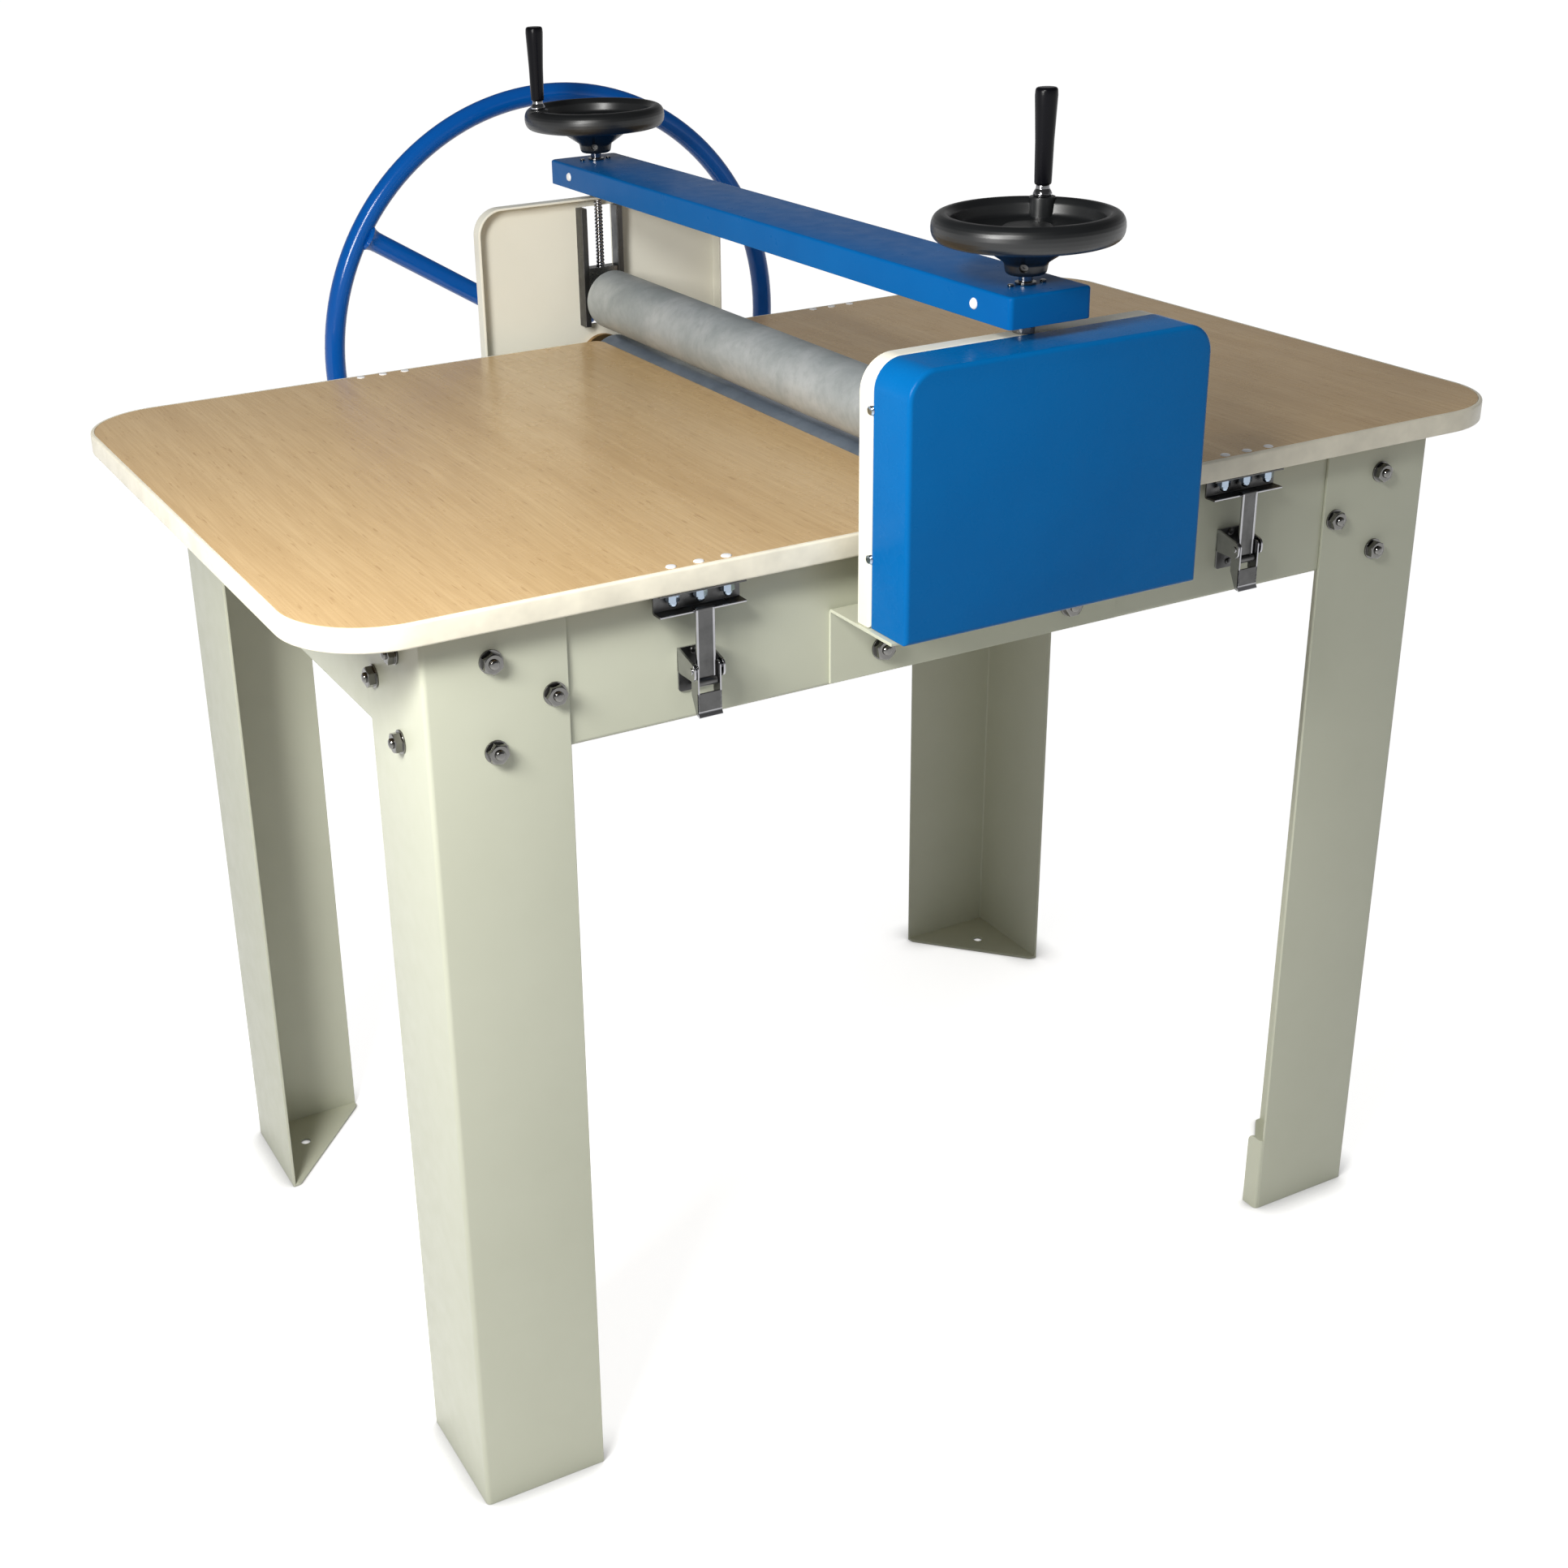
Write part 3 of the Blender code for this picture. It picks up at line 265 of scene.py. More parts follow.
# The lower roller's steel is darker and bluer than the upper's: painted shade under the upper roller and a painted
# bluish sheen.
LOW_ROLL_PAINTED_SHADE_AND_SHEEN = worn_steel("lower_roller_steel", (0.30, 0.36, 0.44), (0.20, 0.25, 0.32), 0.34, 0.55, 14.0, 900.0)
ZINC = bright("zinc_plate", (0.26, 0.26, 0.26), 0.26, 0.10)
# Dark steel: the hub grub screws' own finish, and painted shade on the side plates' guides and in the latches.
DARK_STEEL_AND_PAINTED_SHADE = bright("dark_steel", (0.12, 0.12, 0.12), 0.35, 0.10)
CHROME = bright("chrome", (0.42, 0.42, 0.44), 0.12, 0.12)
BOLT = bright("bolt_plate", (0.19, 0.187, 0.18), 0.12, 0.45)
IRON = worn_steel("gear_iron", (0.16, 0.16, 0.17), (0.08, 0.08, 0.085), 0.5, 0.8, 30.0, 300.0)
NUT = bright("nut_plate", (0.38, 0.46, 0.56), 0.14, 0.06)
BRONZE = bright("bearing_bronze", (0.48, 0.30, 0.13), 0.34, 0.10)
BLACK = moulded("black_plastic", (0.008, 0.009, 0.010), 0.36, 1300.0, 0.14, 0.6)
GRIP = moulded("grip_plastic", (0.004, 0.004, 0.006), 0.24, 1300.0, 0.08, 0.14)
# Near-white paint on the table and crossbar screw heads: a painted highlight standing for their bright plated heads.
SCREW_PAINTED_HIGHLIGHT = paint("screw_plate", (0.90, 0.90, 0.90), (0.84, 0.84, 0.84), 0.25, 0.05)


# ---- mesh helpers

def rounded(corners, step=6.0):
    """Outline from (u, v, radius) corners, each radius drawn as an arc."""
    outline = []
    for i, (u, v, radius) in enumerate(corners):
        here = Vector((u, v))
        if radius <= 0:
            outline.append(here)
            continue
        back = (Vector(corners[i - 1][:2]) - here).normalized()
        ahead = (Vector(corners[(i + 1) % len(corners)][:2]) - here).normalized()
        half = back.angle(ahead) / 2
        centre = here + (back + ahead).normalized() * radius / sin(half)
        first = here + back * radius / tan(half) - centre
        last = here + ahead * radius / tan(half) - centre
        sweep = atan2(last.y, last.x) - atan2(first.y, first.x)
        sweep = (sweep + pi) % (2 * pi) - pi
        steps = max(3, ceil(abs(sweep) / radians(step if radius > 0.01 else 15) - 0.01))
        outline += [centre + Matrix.Rotation(sweep * k / steps, 2) @ first for k in range(steps + 1)]
    return outline


def quarter(radius, steps):
    """Quarter round over an edge, as (below the flat, in from the side) pairs."""
    return [(radius * (1 - sin(a)), radius * (1 - cos(a))) for a in [pi / 2 * k / steps for k in range(steps + 1)]]


SPREAD = {"X": lambda p, w: (w, p[0], p[1]), "Y": lambda p, w: (p[0], w, p[1]), "Z": lambda p, w: (p[0], p[1], w)}


def bridge(bm, one, other):
    """Band of faces between two like loops."""
    for k in range(len(one)):
        after = (k + 1) % len(one)
        bm.faces.new((one[k], one[after], other[after], other[k]))


def loft(rings, axis):
    """Solid through like outlines, given as (place along axis, outline)."""
    bm = bmesh.new()
    rows = [[bm.verts.new(SPREAD[axis](p, w)) for p in outline] for w, outline in rings]
    for one, other in zip(rows, rows[1:]):
        bridge(bm, one, other)
    bm.faces.new(rows[0])
    bm.faces.new(rows[-1])
    return bm


def prism(outline, axis, start, end, end_outline=None):
    return loft([(start, outline), (end, end_outline or outline)], axis)


def block(one, other):
    corners = [(one[0], one[1]), (other[0], one[1]), (other[0], other[1]), (one[0], other[1])]
    return prism(corners, "Z", one[2], other[2])


LAY = {"X": Matrix.Rotation(pi / 2, 4, "Y"), "Y": Matrix.Rotation(-pi / 2, 4, "X"), "Z": Matrix()}


def turned(profile, centre, axis="Z", facets=64, closed=False):
    """Solid of revolution from (radius, height) points; closed for one with a bore."""
    bm = bmesh.new()
    rows = []
    for radius, height in profile:
        angles = [0.0] if radius == 0 else [2 * pi * k / facets for k in range(facets)]
        rows.append([bm.verts.new((radius * cos(a), radius * sin(a), height)) for a in angles])
    pairs = list(zip(rows, rows[1:])) + ([(rows[-1], rows[0])] if closed else [])
    for one, other in pairs:
        for k in range(facets):
            after = (k + 1) % facets
            ring = (one[k % len(one)], one[after % len(one)], other[after % len(other)], other[k % len(other)])
            bm.faces.new(dict.fromkeys(ring))
    matrix = axis if isinstance(axis, Matrix) else LAY[axis]
    bmesh.ops.transform(bm, matrix=Matrix.Translation(centre) @ matrix, verts=bm.verts)
    return bm


def rod(radius, start, end, centre, axis, facets):
    """Plain round bar between two places along its axis."""
    return turned([(0, start), (radius, start), (radius, end), (0, end)], centre, axis, facets)


def eased(profile, radius):
    """A lathe profile with its inner corners rounded by up to `radius`."""
    points = [Vector(p) for p in profile]
    out = [points[0]]
    for before, here, after in zip(points, points[1:], points[2:]):
        back, ahead = before - here, after - here
        bend = back.angle(ahead)
        room = min(back.length, ahead.length) * 0.49
        if bend > radians(172) or room < 1e-5:
            out.append(here)
            continue
        cut = min(radius / tan(bend / 2), room)
        one, other = here + back.normalized() * cut, here + ahead.normalized() * cut
        for k in range(5):
            t = k / 4
            out.append(one * (1 - t) ** 2 + here * 2 * t * (1 - t) + other * t ** 2)
    out.append(points[-1])
    return [(max(0.0, p.x), p.y) for p in out]


def joined(*meshes):
    """Several bmeshes as one."""
    bm = bmesh.new()
    for part in meshes:
        bmesh.ops.recalc_face_normals(part, faces=part.faces)
        mesh = bpy.data.meshes.new("part")
        part.to_mesh(mesh)
        part.free()
        bm.from_mesh(mesh)
        bpy.data.meshes.remove(mesh)
    return bm


def placed(name, data):
    """New object in the scene for a mesh, light or camera."""
    made = bpy.data.objects.new(name, data)
    bpy.context.scene.collection.objects.link(made)
    return made


def as_object(name, bm):
    bmesh.ops.recalc_face_normals(bm, faces=bm.faces)
    mesh = bpy.data.meshes.new(name)
    bm.to_mesh(mesh)
    bm.free()
    return placed(name, mesh)


def whole(bm):
    """Drop islands too small to be a solid, which a Boolean can leave behind."""
    seen, drop = set(), []
    for start in bm.faces:
        if start in seen:
            continue
        island, queue = [], [start]
        seen.add(start)
        while queue:
            face = queue.pop()
            island.append(face)
            for other in [near for edge in face.edges for near in edge.link_faces]:
                if other not in seen:
                    seen.add(other)
                    queue.append(other)
        if len(island) < 4:
            drop += island
    bmesh.ops.delete(bm, geom=drop, context="FACES")
    return bm


def carved(bm, tools):
    """The mesh with (operation, tool) pairs applied to it by exact Booleans."""
    target = as_object("carved", bm)
    spare = []
    for operation, tool_bm in tools:
        tool = as_object("tool", tool_bm)
        spare.append(tool)
        change = target.modifiers.new("cut", "BOOLEAN")
        change.operation, change.solver, change.object = operation, "EXACT", tool
    bpy.context.view_layer.update()
    shaped = bpy.data.meshes.new_from_object(target.evaluated_get(bpy.context.evaluated_depsgraph_get()))
    out = bmesh.new()
    out.from_mesh(shaped)
    for old in [target] + spare:
        mesh = old.data
        bpy.data.objects.remove(old)
        bpy.data.meshes.remove(mesh)
    bpy.data.meshes.remove(shaped)
    bmesh.ops.remove_doubles(out, verts=out.verts, dist=1e-6)
    return whole(out)


def sided(bm, across):
    """The mesh, turned half round about the machine's upright centre line if it belongs across it."""
    if across:
        bmesh.ops.transform(bm, matrix=Matrix.Rotation(pi, 4, "Z"), verts=bm.verts)
    return bm


def soften(piece, width, angle):
    """Round the edges that bend by more than `angle` degrees."""
    change = piece.modifiers.new("edges", "BEVEL")
    change.width, change.segments = width, 2
    change.limit_method, change.angle_limit = "ANGLE", radians(angle)
    change.harden_normals = True


def two_tone(piece, material, where):
    """Give the faces that `where` picks a second material."""
    piece.data.materials.append(material)
    for face in piece.data.polygons:
        face.material_index = int(where(face))


def show(name, bm, material, slot, body, *nodes, bevel=0.0, smooth=35):
    """Put a piece drawn about the machine's centre line in place, with its finish, body and CAD nodes."""
    bmesh.ops.translate(bm, verts=bm.verts, vec=(0, MID_Y, 0))
    piece = as_object(name, bm)
    piece.data.materials.append(material)
    piece.data.shade_smooth()
    piece.data.set_sharp_from_angle(angle=radians(smooth))
    if bevel:
        soften(piece, bevel, 30)
    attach(piece, body)
    if nodes:
        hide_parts(*nodes)
    return piece


def keep(material, bevel, *nodes):
    """CAD nodes whose shape stays, with soft edges and a real finish."""
    for node in nodes:
        piece = frame["nodes"][node]
        piece.data.materials.clear()
        piece.data.materials.append(material)
        weld = piece.modifiers.new("weld", "WELD")
        weld.merge_threshold = 1e-5
        soften(piece, bevel, 40)


SIDES = (("near", -1), ("far", 1))
ENDS = (("left", -1), ("right", 1))


# ---- table

def wing(end, turn):
    """Board whose end leans over the lower roller, and its moulding round the three free edges."""
    trim, ease, corner, inner_corner = 0.004, 0.0022, 0.085, 0.012
    lean = radians(38)
    beside = [-(ROLLER + RUN - (z - LOWER_Z) * sin(lean)) / cos(lean) for z in (BOARD_Z, TABLE_Z)]

    def outline(inner, inset):
        side = HALF_W - inset
        return rounded([(inner, side, inner_corner), (-HALF_L + inset, side, corner - inset),
                        (-HALF_L + inset, -side, corner - inset), (inner, -side, inner_corner)], 3.0)

    skin = 0.0012
    lip = beside[0] + (beside[1] - beside[0]) * (1 - skin / (TABLE_Z - BOARD_Z))
    rings = [(BOARD_Z, outline(beside[0], trim + GAP)), (TABLE_Z - skin, outline(lip, trim + GAP)),
             (TABLE_Z - 0.0002, outline(beside[1], trim + GAP)),
             (TABLE_Z, outline(beside[1] - 0.0002, trim + GAP + 0.0002))]
    piece = show(f"{end}_board", sided(loft(rings, "Z"), turn), WOOD, "laminate", "frame", f"wing_{end}", smooth=20)
    two_tone(piece, CORE, lambda face: face.center.z < TABLE_Z - skin / 2 and face.normal.z < 0.5)

    arc = quarter(ease, 5)
    section = [(trim, BOARD_Z), *[(u, BOARD_Z + v) for u, v in arc],
               *[(u, TABLE_Z - v) for u, v in reversed(arc)], (trim, TABLE_Z)]
    start = -(ROLLER + RUN) - inner_corner
    bm = bmesh.new()
    rails = []
    for inset, height in section:
        side = HALF_W - inset
        corners = [(start, side, 0), (-HALF_L + inset, side, corner - inset),
                   (-HALF_L + inset, -side, corner - inset), (start, -side, 0)]
        rails.append([bm.verts.new((p.x, p.y, height)) for p in rounded(corners, 3.0)])
    for one, other in zip(rails, rails[1:] + rails[:1]):
        for k in range(len(one) - 1):
            bm.faces.new((one[k], one[k + 1], other[k + 1], other[k]))
    bm.faces.new([rail[0] for rail in rails])
    bm.faces.new([rail[-1] for rail in rails])
    show(f"{end}_moulding", sided(bm, turn), EDGE, "edge_moulding", "frame", f"edge_trim_{end}", smooth=40)


# ---- frame

def leg(side, sy, end, sx):
    """Angle leg folded from sheet, with a foot plate and, on the near side, a return at its foot."""
    bend = 0.0048
    wide_low, wide_top, deep, corner = 0.124, 0.129, 0.133, 0.008
    hole_radius, hole_x, hole_y = 0.006, 0.042, 0.053
    free, proud = LEG_X - wide_low, 0.0042 if end == "right" else 0.0

    def section(front):
        corners = [(LEG_X, LEG_Y, bend), (LEG_X - front, LEG_Y, CUT), (LEG_X - front, LEG_Y - SHEET, CUT),
                   (LEG_X - SHEET, LEG_Y - SHEET, bend - SHEET), (LEG_X - SHEET, LEG_Y - deep, CUT),
                   (LEG_X, LEG_Y - deep, CUT)]
        return [(sx * p.x, sy * p.y) for p in rounded(corners)]

    body = prism(section(wide_low), "Z", 0, LEG_TOP, section(wide_top))
    x, y = LEG_X - SHEET / 2, LEG_Y - SHEET / 2
    free_x, free_y = LEG_X - wide_low + 0.0004, LEG_Y - deep + 0.0004
    plate = rounded([(x, y, 0), (free_x, y, 0), (free_x, y - corner, 0.006), (x - corner, free_y, 0.006),
                     (x, free_y, 0)])
    plate = prism([(sx * p.x, sy * p.y) for p in plate], "Z", 0, SHEET)
    hole = rod(hole_radius, -SHEET, 2 * SHEET, (sx * (LEG_X - hole_x), sy * (LEG_Y - hole_y), 0), "Z", 32)
    bm = joined(body, carved(plate, [("DIFFERENCE", hole)]))
    show(f"{side}_{end}_leg", bm, CREAM, "frame_paint", "frame", f"leg_{side}_{end}", bevel=0.0005)
    if side == "near":
        foot_return(side, sy, end, sx, free, proud)


def foot_return(side, sy, end, sx, free, proud):
    """Upright return folded back at the foot of the leg's front flange, with a rounded top corner."""
    edge, fold, height, corner = free - proud, 0.0042, 0.091, 0.009
    face, joint, back = LEG_Y - 0.0003, free + 0.0045, LEG_Y - 0.021

    def section(end_y):
        corners = [(joint, face, 0), (edge, face, fold), (edge, end_y, 0.0006), (edge + SHEET, end_y, 0.0006),
                   (edge + SHEET, face - SHEET, fold - SHEET), (joint, face - SHEET, 0)]
        return [(sx * p.x, sy * p.y) for p in rounded(corners)]

    rings = [(0, section(back))] + [(height - down, section(back + inset)) for down, inset in quarter(corner, 6)]
    show(f"{side}_{end}_foot_return", loft(rings, "Z"), CREAM, "frame_paint", "frame", smooth=40)


def folded(face, top, bottom, lip, bend=0.0045):
    """C section of a folded rail, as (across, height) points."""
    inner = face - lip
    return rounded([(-face, bottom, bend), (-inner, bottom, CUT), (-inner, bottom + SHEET, CUT),
                    (-face + SHEET, bottom + SHEET, bend - SHEET), (-face + SHEET, top - SHEET, bend - SHEET),
                    (-inner, top - SHEET, CUT), (-inner, top, CUT), (-face, top, bend)])


def rails():
    """Long rails, cut round the lower roller, and end rails."""
    top, lip, edge = high("rail_near").z, 0.020, 0.0004
    radius = ROLLER + 0.0025
    arc = [pi + pi * k / 32 for k in range(33)]
    cut = [(radius * cos(a), LOWER_Z + radius * sin(a)) for a in arc] + \
        [(radius, TABLE_Z), (-radius, TABLE_Z)]
    for side, sy in SIDES:
        body = prism(folded(RAIL_FACE, top, RAIL_LOW, lip), "X", -RAIL_REACH, RAIL_REACH)
        slot = prism(cut, "Y", -RAIL_FACE - 0.01, -RAIL_FACE + 2 * lip)
        bm = sided(carved(body, [("DIFFERENCE", slot)]), sy > 0)
        show(f"{side}_rail", bm, CREAM, "frame_paint", "frame", f"rail_{side}", bevel=edge)
    reach = high("end_rail_left").y - MID_Y
    face = -low("end_rail_left").x
    for end, sx in ENDS:
        bm = sided(prism(folded(face, top, RAIL_LOW, lip), "Y", -reach, reach), sx > 0)
        show(f"{end}_rail", bm, CREAM, "frame_paint", "frame", f"end_rail_{end}", bevel=edge)


def brackets():
    """Folded shelf under each side plate."""
    back = RAIL_FACE + GAP
    bend = 0.0045
    outline = rounded([(-back, BRACKET_Z, CUT), (-back - SHEET, BRACKET_Z, CUT),
                       (-back - SHEET, SHELF_Z - SHEET, bend - SHEET), (-SHELF_Y, SHELF_Z - SHEET, CUT),
                       (-SHELF_Y, SHELF_Z, CUT), (-back, SHELF_Z, bend)])
    for side, sy in SIDES:
        bm = sided(prism(outline, "X", -BRACKET_HALF, BRACKET_HALF), sy > 0)
        show(f"{side}_shelf", bm, CREAM, "frame_paint", "frame", f"bracket_{side}", bevel=0.0005)


# ---- side plates and cover

def upright(half, bottom, top, radius, foot=0.0):
    return rounded([(-half, bottom, foot), (half, bottom, foot), (half, top, radius), (-half, top, radius)], 4.0)


def pan(half, bottom, top, corner, rim, face, sheet, bend):
    """Open pressed pan: (place, outline) rings from its rim out over the bend to its face, and back inside."""
    def ring(inset):
        return upright(half - inset, bottom + inset, top - inset, corner - inset, 0.0012)

    edge = 0.0004
    outer = [(-face + down, ring(inset)) for down, inset in quarter(bend, 6)]
    inner = [(-face + sheet + down, ring(sheet + inset)) for down, inset in
             reversed(quarter(max(0.0006, bend - sheet), 6))]
    return [(-rim - edge, ring(0.0)), *outer], [*inner, (-rim - edge, ring(sheet)), (-rim, ring(sheet - edge)),
                                                (-rim, ring(edge))]


def pressed(outer, inner, axis="Y"):
    """Skin of a pan from its outer and inner rings, with flat faces front and back."""
    bm = bmesh.new()
    rows = [[bm.verts.new(SPREAD[axis](p, w)) for p in outline] for w, outline in outer + inner]
    turn = len(outer) - 1
    for k, (one, other) in enumerate(zip(rows, rows[1:] + rows[:1])):
        if k == turn:
            bm.faces.new(one)
            bm.faces.new(other)
        else:
            bridge(bm, one, other)
    return bm


def side_plates():
    """Pressed pans, each with a slot between two guides, a bearing hole and a spindle hole."""
    sheet, corner, bend = 0.0025, 0.030, 0.0034
    slot, bearing, deep = 0.0185 + GAP, 0.0203, 0.01
    guide, foot, top = 0.0075, UPPER_Z - 0.034, PLATE_TOP - 0.012

    def guide_in_painted_shade(face):
        beside = slot - 0.0002 < abs(face.center.x) < slot + guide + 0.0002
        inside = abs(face.center.y - MID_Y) < PLATE_Y - sheet - GAP
        return beside and inside and foot - 0.001 < face.center.z < top + 0.001

    for side, sy in SIDES:
        shell = pressed(*pan(PLATE_HALF, PLATE_Z, PLATE_TOP, corner, RIM_Y, PLATE_Y, sheet, bend))
        cuts = []
        for sign in (-1, 1):
            a, b = sorted((sign * slot, sign * (slot + guide)))
            section = rounded([(a, -PLATE_Y + sheet / 2, 0), (b, -PLATE_Y + sheet / 2, 0),
                               (b, -RIM_Y - GAP, 0.001), (a, -RIM_Y - GAP, 0.001)])
            cuts.append(("UNION", prism(section, "Z", foot, top)))
        cuts += [("DIFFERENCE", block((-slot, -PLATE_Y - deep, foot), (slot, -PLATE_Y + 2 * sheet, top))),
                 ("DIFFERENCE", rod(bearing, -deep, deep, (0, -PLATE_Y, LOWER_Z), "Y", 48)),
                 ("DIFFERENCE", rod(SPINDLE_HOLE, -deep, deep, (0, -SPINDLE_Y, PLATE_TOP), "Z", 32))]
        bm = sided(carved(shell, cuts), sy > 0)
        piece = show(f"{side}_side_plate", bm, PALE, "frame_paint", "frame", f"side_plate_{side}", smooth=30)
        # The guides are dark steel: painted shade for the dark gaps beside the slot.
        two_tone(piece, DARK_STEEL_AND_PAINTED_SHADE, guide_in_painted_shade)


def drive_cover():
    shell = pressed(*pan(COVER_HALF, PLATE_Z, PLATE_TOP, 0.026, PLATE_Y + GAP, COVER_Y, 0.0015, 0.0042))
    show("gear_cover", shell, BLUE, "blue_paint", "frame", "drive_cover", smooth=30)


# ---- crossbar, spindles, handwheels

def crossbar():
    """Shallow tray, open below, with a hole for each spindle."""
    sheet, bend, corner, edge = 0.002, 0.0026, 0.0045, 0.0004

    def ring(inset, radius=corner):
        half, end = BAR_HALF - inset, BAR_END - inset
        return rounded([(-half, -end, radius), (half, -end, radius), (half, end, radius), (-half, end, radius)])

    outer = [(BAR_Z + edge, ring(0))] + [(BAR_TOP - down, ring(inset)) for down, inset in quarter(bend, 5)]
    inner = [(BAR_TOP - sheet, ring(sheet, CUT)), (BAR_Z + edge, ring(sheet, CUT)),
             (BAR_Z, ring(sheet - edge, 0.001)), (BAR_Z, ring(edge, corner - 0.0002))]
    cuts = [("DIFFERENCE", rod(SPINDLE_HOLE, -0.05, 0.05, (0, y, BAR_TOP), "Z", 32)) for y in (-SPINDLE_Y, SPINDLE_Y)]
    bm = carved(pressed(outer, inner, "Z"), cuts)
    show("crossbar_cover", bm, BAR_BLUE, "blue_paint", "frame", "crossbar", smooth=30)


def threaded(radius, start, end, pitch, depth, facets=36, rows_per_turn=8):
    """Shaft with a single trapezoid thread between two heights."""
    count = int((end - start) / pitch * rows_per_turn)
    rings = []
    for r in range(count + 1):
        z = start + (end - start) * r / count
        outline = []
        for k in range(facets):
            phase = (z / pitch - k / facets) % 1.0
            wave = min(1.0, max(0.0, abs(phase - 0.5) * 4 - 0.5))
            a = 2 * pi * k / facets
            size = radius - depth * wave
            outline.append((size * cos(a), size * sin(a)))
        rings.append((z, outline))
    return loft(rings, "Z")


def spindle(side, sy):
    """Pressure screw: thread below the crossbar and a plain polished neck under the handwheel."""
    top, foot, shoulder = high(f"spindle_{side}").z, PLATE_TOP - 0.0045, COLLAR_TOP + GAP
    radius, neck, pitch, depth = 0.0050, 0.0060, 0.004, 0.0009
    screw = threaded(radius, SPINDLE_FOOT, PLATE_TOP - 0.004, pitch, depth)
    plain = turned(eased([(0, foot), (radius, foot), (radius, shoulder), (neck, shoulder), (neck, top), (0, top)],
                         0.0003), (0, 0, 0))
    bm = joined(screw, plain)
    bmesh.ops.translate(bm, verts=bm.verts, vec=(0, -SPINDLE_Y, 0))
    show(f"{side}_pressure_screw", sided(bm, sy > 0), CHROME, "chrome", f"pressure_{side}", f"spindle_{side}",
         smooth=45)


def crank_place(side):
    pin = middle(f"crank_pin_{side}")
    return Vector((pin.x, pin.y - MID_Y, 0))


def handwheel(side, sy):
    """Dished moulding with a heavy rim, a tapered hub with its grub screw, and the handle's boss."""
    rim, top = BAR_TOP + 0.0362, high(f"handwheel_{side}").z - 0.0005
    seat = high(f"spindle_{side}").z + GAP
    R, thick, half = HAND_RADIUS, 0.0120, (top - rim) / 2
    bore, pin_hole, screw_hole = 0.0063, 0.0043, 0.0038
    barrel = []
    for k in range(13):
        a = radians(-90 + 15 * k)
        barrel.append((R - thick + thick * cos(a) ** 0.7,
                       rim + half + half * copysign(abs(sin(a)) ** 0.9, a)))
    profile = [(0, seat), (bore, seat), (bore, HAND_FOOT), (0.0170, HAND_FOOT), (0.0185, HAND_FOOT + 0.010),
               (0.0420, rim - 0.0020), *barrel, (R * 0.795, top - 0.0050), (R * 0.770, rim + 0.0085),
               (R * 0.58, rim + 0.0070), (R * 0.30, rim + 0.0065), (R * 0.25, rim + 0.0125), (0, rim + 0.0130)]
    centre = Vector((0, sy * SPINDLE_Y, 0))
    bm = turned(eased(profile, 0.0045), centre, "Z", 112)
    at = crank_place(side)
    boss = turned(eased([(0, rim + 0.003), (0.0116, rim + 0.003), (0.0112, top + 0.0005), (0, top + 0.0005)], 0.0008),
                  at, "Z", 48)
    hole = rod(pin_hole, rim - 0.01, top + 0.01, at, "Z", 24)
    facing = Matrix.Rotation(radians(-133 if side == "near" else -120), 4, "Z") @ LAY["X"]
    eye = centre + Vector((0, 0, HAND_FOOT + 0.0078))
    screw = rod(screw_hole, 0.008, 0.04, eye, facing, 28)
    body = carved(bm, [("UNION", boss), ("DIFFERENCE", hole), ("DIFFERENCE", screw)])
    show(f"{side}_handwheel", body, BLACK, "black_plastic", f"pressure_{side}", f"handwheel_{side}", smooth=38)
    grub = turned([(0, 0.0105), (0.0015, 0.0105), (0.0015, 0.0125), (0.0036, 0.0125), (0.0036, 0.0085), (0, 0.0085)],
                  eye, facing, 24)
    show(f"{side}_hub_screw", grub, DARK_STEEL_AND_PAINTED_SHADE, "chrome", f"pressure_{side}", smooth=40)


def crank(side):
    """Chromed pin with a flared collar, and the tapered grip that turns on it."""
    pin, grip = f"crank_pin_{side}", f"crank_grip_{side}"
    at = crank_place(side)
    foot, head, seat = low(pin).z, high(pin).z, high(f"handwheel_{side}").z + GAP
    base, top = low(grip).z, high(grip).z
    flare = [(0, foot), (0.0040, foot), (0.0040, seat), (0.0080, seat), (0.0082, seat + 0.0022),
             (0.0074, seat + 0.0040), (0.0060, seat + 0.0062), (0.0056, base - 0.0003), (0.0040, base - 0.0003),
             (0.0040, head), (0, head)]
    show(f"{side}_handle_pin", turned(eased(flare, 0.0006), at, "Z", 48), CHROME, "chrome", f"pressure_{side}", pin,
         smooth=40)
    length = top - base
    bore, roof = 0.0043, head + 0.0005
    shape = [(0, roof), (bore, roof), (bore, base), (0.0066, base), (0.0073, base + 0.0012),
             (0.0075, base + length * 0.12), (0.0080, base + length * 0.45), (0.0092, base + length * 0.78),
             (0.0097, top - 0.0065), (0.0093, top), (0, top)]
    show(f"{side}_handle_grip", turned(eased(shape, 0.0030), at, "Z", 56), GRIP, "black_plastic", f"grip_{side}",
         grip, smooth=38)


# ---- rollers and drive wheel

def roller(name, axis_z, journal, near_end, far_end, body, material, node):
    """Roller with its journals, turned in one."""
    profile = [(0, near_end), (journal, near_end), (journal, -HALF_W), (ROLLER, -HALF_W), (ROLLER, HALF_W),
               (journal, HALF_W), (journal, far_end), (0, far_end)]
    bm = turned(eased(profile, 0.0034), (0, 0, axis_z), "Y", 112)
    show(name, bm, material, "roller_steel", body, node, smooth=40)


